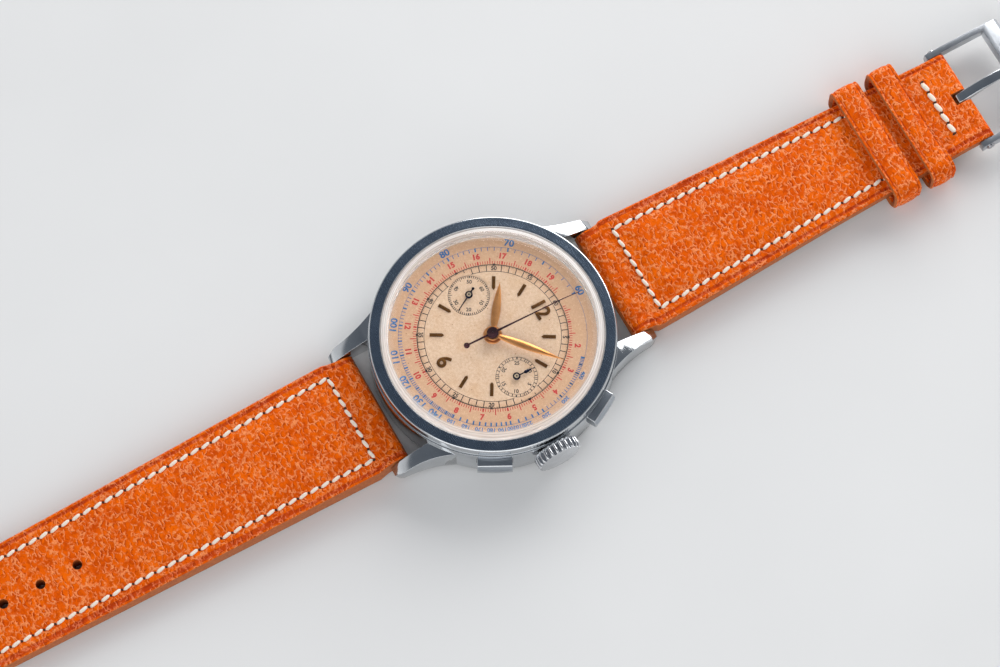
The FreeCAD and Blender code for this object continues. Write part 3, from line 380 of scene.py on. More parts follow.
def axis_distance(tree, place):
    """Distance from the watch's upright axis."""
    flat = vectors(tree, "MULTIPLY", place, (1, 1, 0))
    return add(tree, "VectorMath", operation="LENGTH", Vector=flat).outputs["Value"]


def mapped(tree, vector, scale, turn=(0, 0, 0)):
    return add(tree, "Mapping", Vector=vector, Scale=scale, Rotation=turn).outputs[0]


def object_place(tree, scale=(1, 1, 1)):
    """Object coordinates in millimetres, stretched."""
    return mapped(tree, add(tree, "TexCoord").outputs["Object"], [value / mm for value in scale])


def noise(tree, vector, scale, detail=3.0, roughness=0.55):
    return add(tree, "TexNoise", Vector=vector, Scale=scale, Detail=detail, Roughness=roughness).outputs["Fac"]


def bump(tree, height, strength, distance, **normal):
    """Normals of a height, over other Normal=normals where they are given."""
    node = add(tree, "Bump", Strength=strength, Distance=distance * mm, Height=height, **normal)
    return node.outputs[0]


def effect_group(name, inputs, outputs):
    """Empty shader group with named number inputs and outputs."""
    group = bpy.data.node_groups.new(name, "ShaderNodeTree")
    group.interface.new_socket("Vector", in_out="INPUT", socket_type="NodeSocketVector")
    for label, value in inputs.items():
        socket = group.interface.new_socket(label, in_out="INPUT", socket_type="NodeSocketFloat")
        socket.default_value = value
    for label in outputs:
        group.interface.new_socket(label, in_out="OUTPUT", socket_type="NodeSocketFloat")
    given = group.nodes.new("NodeGroupInput")
    return group, given, given.outputs["Vector"], group.nodes.new("NodeGroupOutput")


def metal_wear_group():
    """Fine haze, stray scratches and soft smudges of a worn metal surface."""
    group, given, vector, out = effect_group(
        "metal_wear", {"Haze": 0.5, "Scratches": 0.5}, ["Roughness", "Height"])
    smudge = noise(group, vector, 0.35, 4.0, 0.5)
    lines = noise(group, mapped(group, vector, (0.25, 6, 6), (0, 0, 0.6)), 2.2, 2.0, 0.5)
    thin = ramp(group, lines, [(0.6, 0.0), (0.66, 1.0), (0.72, 0.0)])
    marks = maths(group, "MULTIPLY", thin, given.outputs["Scratches"])
    haze = maths(group, "MULTIPLY", smudge, given.outputs["Haze"])
    set_up(group, out, Roughness=maths(group, "ADD", marks, haze), Height=maths(group, "MULTIPLY", marks, -1.0))
    return group


def leather_grain_group():
    """Grained hide: a warped net of broken ridges with painted shadows beside them, fine pores, stains and
    mottling.
    """
    group, given, vector, out = effect_group(
        "leather_grain", {"Scale": 1.0}, ["Height", "Ridges", "Hollows", "Mottle"])
    warp = add(group, "TexNoise", Vector=vector, Scale=1.3, Detail=2.0, Roughness=0.5).outputs["Color"]
    warped = vectors(group, "ADD", vector, vectors(group, "MULTIPLY", warp, (1.2, 1.2, 1.2)))
    ridge_breaks = ramp(group, noise(group, vector, 1.4, 3.0, 0.5), [(0.38, 0.1), (0.58, 1.0)])
    scale = maths(group, "MULTIPLY", given.outputs["Scale"], 1.05)

    def net(offset, stops):
        """Borders of the warped net's cells, broken in places, moved sideways by the offset."""
        place = vectors(group, "MULTIPLY", vectors(group, "ADD", warped, offset), (0.72, 1.3, 1.0))
        cells = add(group, "TexVoronoi", feature="DISTANCE_TO_EDGE", Vector=place, Scale=scale)
        return maths(group, "MULTIPLY", ramp(group, cells.outputs["Distance"], stops), ridge_breaks)

    ridges = net((0, 0, 0), [(0.0, 1.0), (0.05, 0.65), (0.19, 0.0)])
    # Painted shadow: the net moved a little away from the light, giving a dark line beside each ridge.
    ridge_shadows = net((-0.05, -0.17, 0), [(0.0, 1.0), (0.08, 0.75), (0.26, 0.0)])
    stain = ramp(group, noise(group, vector, 1.1, 3.0, 0.55), [(0.42, 0.0), (0.66, 0.55)])
    # Painted shade beside the ridges, or real stains, darken the hide off the ridges.
    low = maths(group, "MAXIMUM", ridge_shadows, stain)
    shade_and_stain = maths(group, "MULTIPLY", maths(group, "SUBTRACT", 1.0, ridges), low)
    pores = maths(group, "MULTIPLY", noise(group, vector, 4.0, 5.0, 0.7), 0.5)
    height = maths(group, "ADD", maths(group, "MULTIPLY", ridges, 0.6), pores)
    mottle = noise(group, vector, 0.35, 4.0, 0.6)
    set_up(group, out, Height=height, Ridges=ridges, Hollows=shade_and_stain, Mottle=mottle)
    return group


metal_wear = metal_wear_group()
leather_grain = leather_grain_group()


def metal(name, colour, roughness, haze=0.12, scratches=0.1, second=None, grain=0.0, grain_scale=None):
    """Polished or brushed metal with its own wear; grain adds a brushed finish along one way."""
    material, tree, shader = new_material(name)
    place = object_place(tree)
    wear = add(tree, "Group", node_tree=metal_wear, Vector=place, Haze=haze, Scratches=scratches).outputs
    dull = second or tuple(value * 0.82 for value in colour)
    normals = bump(tree, wear["Height"], 0.25, 0.02)
    if grain:
        streaks = noise(tree, object_place(tree, grain_scale), 1.0, 4.0, 0.7)
        normals = bump(tree, streaks, grain, 0.03, Normal=normals)
    set_up(tree, shader, Metallic=1.0, Normal=normals,
           Roughness=maths(tree, "ADD", wear["Roughness"], roughness),
           Base_Color=ramp(tree, noise(tree, place, 0.25), [(0.3, dull), (0.7, colour)]))
    return material


def leather(name, colours, grain_scale=1.0, depth=0.22):
    """Waxed hide: a deep colour for painted shade and stains off the ridges, and a paler painted highlight on
    the ridges, which are also glossier.
    """
    material, tree, shader = new_material(name)
    grain = add(tree, "Group", node_tree=leather_grain, Vector=object_place(tree), Scale=grain_scale).outputs
    ridge_highlight, pale, mid, shade_and_stain_colour = colours
    base = ramp(tree, grain["Mottle"], [(0.38, mid), (0.6, pale)])
    # Painted shade and stains: the deep colour off the ridges.
    base = mixed(tree, ramp(tree, grain["Hollows"], [(0.1, 0.0), (1.0, 0.95)]), base, shade_and_stain_colour)
    # Painted highlight: the pale colour on the ridges.
    base = mixed(tree, ramp(tree, grain["Ridges"], [(0.1, 0.0), (0.9, 0.8)]), base, ridge_highlight)
    set_up(tree, shader, Base_Color=base, Normal=bump(tree, grain["Height"], 0.5, depth),
           Roughness=ramp(tree, grain["Ridges"], [(0.1, 0.6), (0.9, 0.3)]),
           Specular_IOR_Level=ramp(tree, grain["Ridges"], [(0.1, 0.05), (0.9, 0.45)]))
    return material


def plain(name, colour, roughness, second=None, scale=1.5, relief=0.0, specular=0.5):
    """Non-metal with a soft change of tone."""
    material, tree, shader = new_material(name)
    tone = noise(tree, object_place(tree), scale, 4.0, 0.65)
    set_up(tree, shader, Specular_IOR_Level=specular,
           Base_Color=ramp(tree, tone, [(0.35, second or colour), (0.65, colour)]),
           Roughness=ramp(tree, tone, [(0.3, roughness), (0.7, roughness + 0.12)]))
    if relief:
        set_up(tree, shader, Normal=bump(tree, tone, 0.5, relief))
    return material


def crystal_glass():
    """Old acrylic, clear and faintly warm, with fine scratches, and a painted pale reflection in bands round
    its shoulder and at grazing angles.
    """
    material, tree, shader = new_material("crystal_acrylic")
    place = object_place(tree)
    wear = add(tree, "Group", node_tree=metal_wear, Vector=place, Haze=0.03, Scratches=0.05).outputs
    set_up(tree, shader, Base_Color=(0.985, 0.98, 0.97), IOR=1.12, Coat_Weight=0.7, Coat_IOR=1.5,
           Coat_Roughness=0.02, Transmission_Weight=1.0, Roughness=wear["Roughness"],
           Normal=bump(tree, wear["Height"], 0.1, 0.01))
    inset = maths(tree, "SUBTRACT", crystal_radius, axis_distance(tree, place))
    shoulder_width = 2.0
    # Painted reflection: pale bands round the shoulder, by the distance in from the edge.
    painted_reflection_bands = ramp(tree, maths(tree, "DIVIDE", inset, shoulder_width), [
        (0.0, 0.35), (0.05, 0.65), (0.15, 0.3), (0.21, 0.7), (0.29, 0.6), (0.32, 0.3), (0.35, 0.75),
        (0.42, 0.45), (0.5, 0.15), (0.62, 0.05), (1.0, 0.0)])
    cloud = ramp(tree, noise(tree, place, 0.12, 2.0), [(0.3, 0.75), (0.7, 1.0)])
    facing = add(tree, "LayerWeight", Blend=0.5).outputs["Facing"]
    # Painted sheen: paler where the surface is seen at a grazing angle.
    grazing_sheen = ramp(tree, facing, [(0.6, 0.0), (0.85, 0.2), (1.0, 0.4)])
    share = maths(tree, "MAXIMUM", maths(tree, "MULTIPLY", painted_reflection_bands, cloud), grazing_sheen)
    # This pale diffuse colour is the painted reflection, mixed over the clear glass.
    pale = add(tree, "BsdfDiffuse", Color=(0.95, 0.93, 0.91)).outputs[0]
    seen = blended(tree, share, shader.outputs[0], pale)
    clear = add(tree, "BsdfTransparent").outputs[0]
    shadow = add(tree, "LightPath").outputs["Is Shadow Ray"]
    set_up(tree, tree.nodes["Material Output"], Surface=blended(tree, shadow, seen, clear))
    return material


def dial_lacquer():
    """Aged silvered dial: cream in the middle, warmer to the edge, with small specks and stains."""
    material, tree, shader = new_material("dial_lacquer")
    place = object_place(tree)
    outer = maths(tree, "DIVIDE", axis_distance(tree, place), dial_radius)
    base = ramp(tree, outer, [(0.0, cream_light), (0.6, cream), (0.68, cream_warm), (1.0, cream_warm)])
    stain = noise(tree, place, 0.28, 4.0, 0.6)
    fibre = noise(tree, place, 2.6, 5.0, 0.75)
    spots = add(tree, "TexVoronoi", voronoi_dimensions="2D", Vector=place, Scale=0.5, Randomness=1.0).outputs
    strength = add(tree, "SeparateColor", Color=spots["Color"]).outputs[0]
    dots = maths(tree, "MULTIPLY", ramp(tree, spots["Distance"], [(0.02, 1.0), (0.06, 0.0)]),
                 ramp(tree, strength, [(0.45, 0.0), (0.95, 0.85)]))
    for mask, colour in ((ramp(tree, stain, [(0.5, 0.0), (0.72, 0.5)]), (0.54, 0.33, 0.18)),
                         (ramp(tree, fibre, [(0.46, 0.0), (0.8, 0.7)]), (0.46, 0.27, 0.15)),
                         (ramp(tree, fibre, [(0.25, 0.4), (0.45, 0.0)]), (0.84, 0.66, 0.48)),
                         (dots, (0.24, 0.11, 0.045))):
        base = mixed(tree, mask, base, colour)
    set_up(tree, shader, Base_Color=base, Roughness=0.42, Specular_IOR_Level=0.35,
           Normal=bump(tree, noise(tree, place, 9.0, 3.0), 0.15, 0.02))
    return material


def floor_paper():
    material, tree, shader = new_material("floor_paper")
    tone = noise(tree, object_place(tree), 0.02)
    paper = ramp(tree, tone, [(0.3, (0.78, 0.78, 0.775)), (0.7, (0.81, 0.81, 0.805))])
    set_up(tree, shader, Base_Color=paper, Roughness=0.9)
    return material


cream_light, cream, cream_warm = (0.64, 0.475, 0.345), (0.62, 0.45, 0.315), (0.55, 0.345, 0.215)
steel = (0.62, 0.64, 0.66)
# Leather colours: painted highlight on the ridges, pale tone, mid tone, and the deep colour of painted shade
# and stains.
tan = ((1.0, 0.33, 0.1), (0.93, 0.145, 0.0), (0.78, 0.098, 0.0), (0.36, 0.022, 0.0))
lining = ((0.5, 0.25, 0.12), (0.46, 0.21, 0.09), (0.36, 0.15, 0.06), (0.24, 0.1, 0.04))
deep_tan = ((0.9, 0.2, 0.06), (0.7, 0.085, 0.005), (0.5, 0.045, 0.004), (0.24, 0.018, 0.002))

case_polish = metal("case_polish", steel, 0.05, 0.09, 0.06)
bezel_steel = metal("bezel_steel", (0.25, 0.315, 0.4), 0.2, 0.1, 0.05, (0.18, 0.235, 0.31),
                    0.14, (0.15, 11, 11))
pusher_brushed = metal("pusher_brushed", (0.46, 0.49, 0.53), 0.24, 0.1, 0.1, (0.36, 0.39, 0.43),
                       0.3, (0.4, 8, 8))
back_steel = metal("back_steel", steel, 0.25, 0.15, 0.15, None, 0.25, (7, 0.5, 7))
fluted_steel = metal("fluted_steel", (0.66, 0.67, 0.69), 0.12, 0.12, 0.05)
buckle_brushed = metal("buckle_brushed", (0.55, 0.57, 0.60), 0.25, 0.12, 0.12, None, 0.3, (0.3, 8, 8))
tongue_polish = metal("tongue_polish", (0.72, 0.74, 0.76), 0.06, 0.08, 0.04)
bar_steel = metal("bar_steel", (0.5, 0.5, 0.52), 0.22)
gilt_plate = metal("gilt_plate", (0.80, 0.60, 0.30), 0.3, 0.1, 0.05, None, 0.2, (0.6, 5, 5))
wheel_brass = metal("wheel_brass", (0.84, 0.66, 0.30), 0.2, 0.1, 0.05)
works_steel = metal("works_steel", (0.56, 0.57, 0.60), 0.2, 0.1, 0.05)
hand_gold = metal("hand_gold", (0.95, 0.46, 0.17), 0.26, 0.12, 0.06, (0.62, 0.26, 0.08), 0.25, (2, 0.6, 2))
pipe_gold = metal("pipe_gold", (0.9, 0.72, 0.5), 0.3, 0.1, 0.04)
marker_gold = metal("marker_gold", (0.24, 0.105, 0.028), 0.3, 0.15, 0.05, (0.13, 0.055, 0.014))
blued_steel = metal("blued_steel", (0.02, 0.03, 0.08), 0.2, 0.1, 0.02, (0.012, 0.015, 0.035))
sweep_steel = metal("sweep_steel", (0.10, 0.035, 0.04), 0.25, 0.1, 0.02, (0.05, 0.025, 0.035))
strap_hide = leather("strap_hide", tan)
crease_hide = leather("crease_hide", deep_tan)
lining_hide = leather("lining_hide", lining, 2.4, 0.08)
edge_hide = plain("edge_hide", (0.52, 0.15, 0.035), 0.5, (0.36, 0.085, 0.018), 2.0, 0.03, 0.3)
thread = plain("thread", (0.95, 0.9, 0.8), 0.75, (0.82, 0.7, 0.55), 9.0, 0.04)
stitch_hole_shade = plain("stitch_hole_shade", (0.06, 0.018, 0.006), 0.8)
black_print = plain("black_print", (0.035, 0.028, 0.024), 0.6, (0.07, 0.055, 0.045), 6.0)
red_print = plain("red_print", (0.42, 0.012, 0.018), 0.6, (0.56, 0.06, 0.045), 6.0)
blue_print = plain("blue_print", (0.006, 0.09, 0.28), 0.6, (0.02, 0.15, 0.36), 6.0)
dial_finish = dial_lacquer()
crystal_clear = crystal_glass()


# ---- case
def arc(centre, radius, start, end, steps):
    """Points of an arc in a profile, angles in degrees."""
    turns = [radians(start + (end - start) * k / steps) for k in range(steps + 1)]
    return [(centre[0] + radius * cos(turn), centre[1] + radius * sin(turn)) for turn in turns]


def make_bezel():
    """Slightly coned ring with a polished bevel at each edge."""
    low, high = low_of("bezel"), top_of("bezel")
    inner = crystal_radius + 0.03
    flat = 0.985        # a face whose normal points up by more than this stays brushed
    profile = [(inner, low), (inner, high - 0.35)] + arc((inner + 0.22, high - 0.30), 0.22, 180, 95, 5)
    profile += [(inner + 0.42, high - 0.10), (bezel_radius - 0.42, high - 0.24)]
    profile += arc((bezel_radius - 0.3, high - 0.54), 0.3, 80, 0, 6)
    profile += [(bezel_radius, low + 0.15), (bezel_radius - 0.12, low)]
    piece = finish(lathe("bezel_ring", profile, 256), 25, bezel_steel, "case_steel", "case", "bezel")
    paint(piece, [case_polish], lambda face: face.normal.z < flat)


def make_crystal():
    """Acrylic dome with an upright edge and a rounded shoulder, closed at its axis."""
    low, high = low_of("crystal"), top_of("crystal")
    wall, thickness, bend, pinhole = 0.9, 1.05, 1.5, 0.12
    outer = crystal_radius
    side = high - bend - 0.35
    over = [(outer, low), (outer, side)] + arc((outer - bend, side), bend, 8, 66, 7)
    edge_r, edge_z = over[-1]
    shares = [1 - k / 14 for k in range(1, 14)]
    over += [(edge_r * share, edge_z + (high - edge_z) * (1 - share ** 2)) for share in shares]
    under = [(radius * (outer - wall) / outer, height - thickness) for radius, height in over[2:]]
    profile = over + [(pinhole, high), (pinhole, high - thickness)] + under[::-1] + [(outer - wall, low)]
    piece = lathe("crystal_dome", profile, 256)
    for vertex in piece.data.vertices:
        if vertex.co.xy.length < 0.2 * mm:
            vertex.co.x = vertex.co.y = 0.0
    finish(outward(piece), 40, crystal_clear, "crystal", "case", "crystal")


def make_case_metal():
    broad = 1.0 * mm * mm        # a pusher's face larger than this is brushed
    smooth_copy("mid_case", case_polish, "case_steel", 0.18, 34, 3)
    smooth_copy("case_back", back_steel, "case_steel", 0.1)
    make_crown()
    for node in ("start_pusher", "reset_pusher"):
        piece = smooth_copy(node, case_polish, "case_steel", 0.14, 34, 3)
        paint(piece, [pusher_brushed], lambda face: face.area > broad)
    smooth_copy("buckle_frame", buckle_brushed, "buckle_steel", 0.16, 34, 3)
    smooth_copy("buckle_tongue", tongue_polish, "polished_metal", 0.16, 40, 3)
    smooth_copy("buckle_bar", bar_steel, "buckle_steel", 0.1)


def make_crown():
    """Crown with rounded flutes along its barrel, a turned lip and a softly domed end.

    The profile's points are (radius, place along the crown's axis, share of the flutes' depth).
    """
    low, high = corners("crown")
    start, end, radius = low.x, high.x, (high.y - low.y) / 2
    axis = (high.z + low.z) / 2
    flutes, per_flute, depth = 24, 12, 0.42
    barrel = end - 0.25
    bore, bore_end = 1.06, start + 0.85
    profile = [(bore, start, 0), (bore, bore_end, 0), (0.02, bore_end, 0), (0.02, end, 0),
               (1.4, end - 0.03, 0), (2.5, end - 0.12, 0), (2.98, barrel, 0),
               (radius - 0.2, barrel - 0.05, 0.4), (radius, barrel - 0.28, 1), (radius, barrel - 0.8, 1),
               (radius, start + 0.4, 1), (radius - 0.12, start + 0.12, 0.8), (radius - 0.5, start, 0.2)]
    count = len(profile)

    def place(turn, side):
        reach, along, fluted = profile[round(side * count)]
        share = turn * flutes % 1
        reach -= fluted * depth * abs(cos(pi * share)) ** 3
        angle = 2 * pi * turn
        return along, reach * cos(angle), axis + reach * sin(angle)

    piece = loop_form("crown_fluted", flutes * per_flute, count, place)
    finish(piece, 50, fluted_steel, "polished_metal", "crown", "crown")


# ---- dial print
print_thickness = 0.012
track_inner, track_outer = 9.96, 10.97
subdial_radius = 3.25
subdial_sink = 0.08
subdial_size = 96        # points round each of its printed circles


def text_mesh(name, label, **settings):
    """Text as a mesh centred on the origin; the settings are those of the text curve."""
    clear_selection()
    bpy.ops.object.text_add(location=(0, 0, 0))
    piece = bpy.context.object
    piece.data.body = label
    piece.data.align_x = "CENTER"
    for key, value in settings.items():
        setattr(piece.data, key, value)
    pick(piece)
    bpy.ops.object.convert(target="MESH")
    piece = outward(named(name))
    spots = [vertex.co for vertex in piece.data.vertices]
    x, y = ((min(spot[way] for spot in spots) + max(spot[way] for spot in spots)) / 2 for way in (0, 1))
    return moved(piece, Matrix.Translation((-x, -y, 0)))


def numbers(name, labels, radius, size, centre=(0, 0), flip=True, weight=0.0, level=face_z):
    """Labels of (text, clockwise angle in degrees); the lower half reads from the centre."""
    pieces = []
    half = print_thickness / 2
    for label, degrees in labels:
        piece = text_mesh(name, label, size=size * mm, align_y="CENTER", extrude=half * mm, offset=weight * mm,
                          resolution_u=4)
        place = round_at(radius, radians(degrees), level + half, centre)
        if flip and 90.5 < degrees % 360 < 269.5:
            place = place @ Matrix.Rotation(pi, 4, "Z")
        pieces.append(moved(piece, place))
    return joined(pieces, name)


def ticks(name, angles, inner, outer, width, centre=(0, 0), level=face_z):
    """Radial strokes between two radii, at clockwise angles in degrees."""
    master = box_form(name, width, outer - inner, print_thickness)
    places = [round_at((inner + outer) / 2, radians(angle), level, centre) for angle in angles]
    return copies(master, name, places)


def circle_line(name, radius, width, centre=(0, 0), level=face_z, around=180):
    inner, outer, top = radius - width / 2, radius + width / 2, level + print_thickness
    return lathe(name, [(inner, level), (outer, level), (outer, top), (inner, top)], around, centre)


def clear_of_subdials(angle, radius=track_inner):
    """True where a stroke at this radius and clockwise angle stays outside both sub-dials."""
    x, y = radius * sin(radians(angle)), radius * cos(radians(angle))
    return all(dist((x, y), place) > subdial_radius for place in (seconds_at, counter_at))


def make_seconds_track():
    """Black band of seconds with fifths outside, numbered at every five."""
    halves = [number / 2 for number in range(720) if clear_of_subdials(number / 2)]
    seconds = [6 * number for number in range(60) if number % 5]
    whole = [angle for angle in seconds if clear_of_subdials(angle)]
    partly = [angle for angle in seconds if not clear_of_subdials(angle)]
    fifths = [1.2 * number for number in range(300) if number % 5]
    fives = [30 * number for number in range(12)]
    pieces = [circle_line("track", track_outer, 0.13)]
    for angles, inner, outer, width in ((halves, track_inner - 0.04, track_inner + 0.04, 0.092),
                                        (whole, track_inner, track_outer, 0.13),
                                        (partly, track_outer - 0.45, track_outer, 0.13),
                                        (fifths, track_outer - 0.22, track_outer, 0.05),
                                        (fives, track_outer - 0.17, track_outer + 0.17, 0.34)):
        pieces.append(ticks("track", angles, inner, outer, width))
    labels = [(str(5 * number), 30 * number) for number in range(1, 13) if number not in (3, 9)]
    pieces.append(numbers("track", labels, 10.44, 0.84, weight=0.03))
    dress(joined(pieces, "seconds_track"), black_print, "dial", "case")


def make_distance_scale():
    """Red scale outside the track: twenty parts, each halved and marked in tenths."""
    base = track_outer + 0.12
    tenths = [1.8 * number for number in range(3, 197) if number % 5]
    halves = [18 * number + 9 for number in range(20)]
    wholes = [18 * number for number in range(1, 20)]
    pieces = [ticks("distance", angles, base, base + length, width) for angles, length, width in (
        (tenths, 0.46, 0.1), (halves, 0.92, 0.14), (wholes, 0.5, 0.24))]
    pieces.append(numbers("distance", [(str(n), 18 * n) for n in range(2, 20)], 12.4, 1.15, weight=0.055))
    dress(joined(pieces, "distance_scale"), red_print, "dial", "case")


def make_speed_scale():
    """Blue scale by the edge: units per hour for one measured unit, read against the sweep hand."""
    inner, outer = 13.14, 13.7
    start = 24        # clockwise angle at which the fine strokes begin

    def angle(value):
        return 3600 / value * 6

    fine = [angle(value) for value in [*(n for n in range(61, 150) if n % 5), *range(260, 500, 10)]]
    bold = [angle(value) for value in [*range(60, 200, 5), *range(200, 250, 10), *range(250, 501, 50)]]
    pieces = [circle_line("speed", outer, 0.045, around=240),
              ticks("speed", [turn for turn in fine if turn > start], inner, outer, 0.1),
              ticks("speed", bold, inner, outer + 0.04, 0.22)]
    large, small = range(60, 141, 10), [*range(150, 221, 10), 250, 300, 400]
    for values, radius, size, weight in ((large, 14.55, 1.5, 0.045), (small, 14.3, 0.85, 0.03)):
        labels = [(str(value), angle(value)) for value in values]
        pieces.append(numbers("speed", labels, radius, size, flip=False, weight=weight))
    dress(joined(pieces, "speed_scale"), blue_print, "dial", "case")


def make_subdial_print():
    """Sunk sub-dials: seconds at 9 o'clock and elapsed minutes at 3 o'clock."""
    level = face_z - subdial_sink
    outer = subdial_radius - 0.22
    pieces = []
    for centre, parts, reach, per_label in ((seconds_at, 60, 0.34, 10), (counter_at, 30, 0.42, 5)):
        pieces.append(circle_line("small", outer, 0.055, centre, level, subdial_size))
        if centre is counter_at:
            pieces.append(circle_line("small", outer - 0.42, 0.055, centre, level, subdial_size))
        fine = [360 / parts * n for n in range(parts) if n % 5]
        for angles, length, width in ((fine, reach, 0.12), (range(30, 360, 60), 0.58, 0.08),
                                      (range(0, 360, 60), 0.32, 0.22)):
            pieces.append(ticks("small", angles, outer - length, outer, width, centre, level))
        labels = [(str(per_label * n), 60 * n) for n in range(1, 7)]
        pieces.append(numbers("small", labels, 2.14, 0.78, centre, True, 0.022, level))
    dress(joined(pieces, "subdial_print"), black_print, "dial", "case")
    inner, over = subdial_radius - 0.12, face_z + 0.006
    profile = [(inner, level - 0.02), (subdial_radius + 0.14, level - 0.02), (subdial_radius + 0.14, over),
               (subdial_radius + 0.06, over), (inner, level + 0.004)]
    rims = [lathe("rim", profile, 128, centre) for centre in (seconds_at, counter_at)]
    finish(joined(rims, "subdial_rims"), 35, dial_finish, "dial", "case")


def make_applied_numerals():
    """Raised gold 12 and 6."""
    pieces = []
    for label, reach in (("12", 8.15), ("6", -8.0)):
        piece = text_mesh("numeral", label, size=3.05 * mm, space_character=0.95, extrude=0.06 * mm,
                          bevel_depth=0.03 * mm, bevel_resolution=1, offset=0.055 * mm, resolution_u=8)
        pieces.append(moved(piece, at(0, reach, face_z + 0.09)))
    finish(joined(pieces, "applied_numerals"), 40, marker_gold, "rose_gold", "case")


# ---- hands
def leaf_blade(name, root, length, width, low, ridge, stem):
    """Leaf with a raised ridge down its middle, from the boss to a fine point."""

    def place(side, run):
        swell = sin(pi * min(1.0, run / 0.98) ** 0.82) ** 0.85 if 0 < run < 0.98 else 0.0
        half = max(0.035, stem * (1 - run) * 0.5 + (width / 2) * swell)
        across, up = cos(2 * pi * side), sin(2 * pi * side)
        x = 0.0 if abs(up) > 0.9 else copysign(half * (1 if abs(across) > 0.9 else 0.5), across)
        lift = 1.0 if up > 0.9 else 0.8 if up > 0.1 else 0.0
        z = low if up < -0.1 else low + 0.05 + ridge * lift * min(1.0, half / 0.3)
        return x, root + (length - root) * run, z

    return bar_form(name, 8, 40, place)


def boss_ring(name, radius, bore, low, high, y=0):
    """Round hub with a softly turned top edge and a dished middle."""
    rim = (radius - bore) / 2
    profile = [(bore, low), (radius, low), (radius, high - 0.06), (radius - 0.06, high),
               (bore + rim * 0.9, high), (bore + rim * 0.6, high - 0.04), (bore, high - 0.04)]
    return lathe(name, profile, 64, (0, y))


def make_hand(pieces, name, angle, centre, smoothing, material, slot, body, node):
    """Hand of pieces built pointing to 12 o'clock, turned to its angle."""
    piece = moved(joined(pieces, name), at(*centre, 0, angle))
    return finish(piece, smoothing, material, slot, body, node)


def make_centre_hands():
    for node, body, boss, bore, width in (("hour_hand", "hours", 1.36, 0.55, 1.0),
                                          ("minute_hand", "minutes", 1.02, 0.42, 0.85)):
        low, high = low_of(node), top_of(node)
        angle, reach = heading(node)
        blade = leaf_blade(node + "_leaf", boss * 0.75, reach, width, low, 0.13, 0.45)
        hub = boss_ring(node + "_hub", boss, bore, low, high + 0.1)
        make_hand([blade, hub], node + "_leaf", angle, (0, 0), 24, hand_gold, "rose_gold", body, node)


def make_sweep_hand():
    """Long needle with a round counterweight; its tip dips towards the scale."""
    low = top_of("sweep_seconds_hand") - 0.14
    angle, reach = heading("sweep_seconds_hand")
    tail, bend = 4.2, 0.8        # its length, and the share of the reach at which the needle starts to dip

    def place(side, run):
        y = -tail + (reach + tail) * run
        share = max(0.0, y / reach)
        half = 0.15 - 0.085 * share + 0.12 * exp(-y / 1.6) if y > 0 else 0.20 - 0.06 * (-y / tail)
        drop = 0.55 * max(0.0, (share - bend) / (1 - bend)) ** 1.5
        turn = 2 * pi * side
        return half * cos(turn), y, low + 0.07 - drop + 0.07 * sin(turn)

    needle = bar_form("sweep_needle", 10, 48, place)
    hub = boss_ring("sweep_hub", 0.84, 0.12, low, low + 0.34)
    weight = boss_ring("sweep_weight", 0.44, 0.02, low, low + 0.14, -tail)
    make_hand([needle, hub, weight], "sweep_needle", angle, (0, 0), 35, sweep_steel, "blued_steel", "runner",
              "sweep_seconds_hand")


def make_small_hands():
    """Sub-dial hands: a plain needle with a round tail, and one with a leaf towards its tip."""
    leaf_start, leaf_end = 0.45, 0.92
    for node, body, centre, leaf, tail in (("small_seconds_hand", "seconds", seconds_at, 0.0, 1.15),
                                           ("minute_counter_hand", "counter", counter_at, 0.5, 0.0)):
        low = low_of(node)
        angle, reach = heading(node, centre)

        def place(side, run):
            y = -tail + (reach + tail) * run
            share = y / reach
            half = 0.11 - 0.05 * max(0.0, share)
            if leaf_start < share < leaf_end:
                taper = (leaf_end - share) / (leaf_end - leaf_start)
                half += leaf * 0.5 * taper * min(1.0, (share - leaf_start) / 0.12)
            turn = 2 * pi * side
            return half * cos(turn), y, low + 0.07 + 0.06 * sin(turn)

        pipe = [(0.13, low + 0.05), (0.33, low + 0.05), (0.33, low + 0.29), (0.13, low + 0.29)]
        parts = [bar_form("small_needle", 8, 44, place), boss_ring("small_hub", 0.55, 0.2, low, low + 0.26),
                 lathe("small_pipe", pipe, 32)]
        if tail:
            parts.append(boss_ring("small_tail", 0.21, 0.02, low, low + 0.13, -tail))
        piece = make_hand(parts, node + "_needle", angle, centre, 35, blued_steel, "blued_steel", body, node)

        def choose(face):
            near = (face.center.xy - Vector(centre) * mm).length < 0.335 * mm
            return near and face.center.z > (low + 0.27) * mm

        paint(piece, [pipe_gold], choose)


# ---- straps
strap_margin = 2.22        # from the edge to the stitching
stitch_pitch, stitch_length = 1.76, 1.5
stitch_slant = 0.22        # radians that each stitch leans across its row
thread_height, thread_lift, hole_lift = 0.4, 0.12, 0.02        # the lifts are over the leather, to the middle
pad_rise = 0.42
crease_inset, crease_half_width = 0.75, 0.3


def smooth_step(value, start, end):
    share = min(1.0, max(0.0, (value - start) / (end - start)))
    return share * share * (3 - 2 * share)


def strap_face(half, thickness, padding, x):
    """Height of the upper face over its level: rounded edges, crease, stitch groove and padded middle."""
    edge = min(0.45, thickness * 0.25)
    inset = half - abs(x)
    rise = padding * smooth_step(inset, strap_margin + 0.1, strap_margin + 2.2)
    middle = 0.22 * padding * (1 - (x / half) ** 2)
    groove = 0.2 * exp(-((inset - crease_inset) / 0.16) ** 2)
    groove += 0.16 * exp(-((inset - strap_margin) / 0.4) ** 2)
    groove *= min(1.0, thickness / 2.5)
    round_off = edge * (1 - sqrt(max(0.0, 1 - max(0.0, 1 - inset / edge) ** 2)))
    return rise + middle - groove - round_off


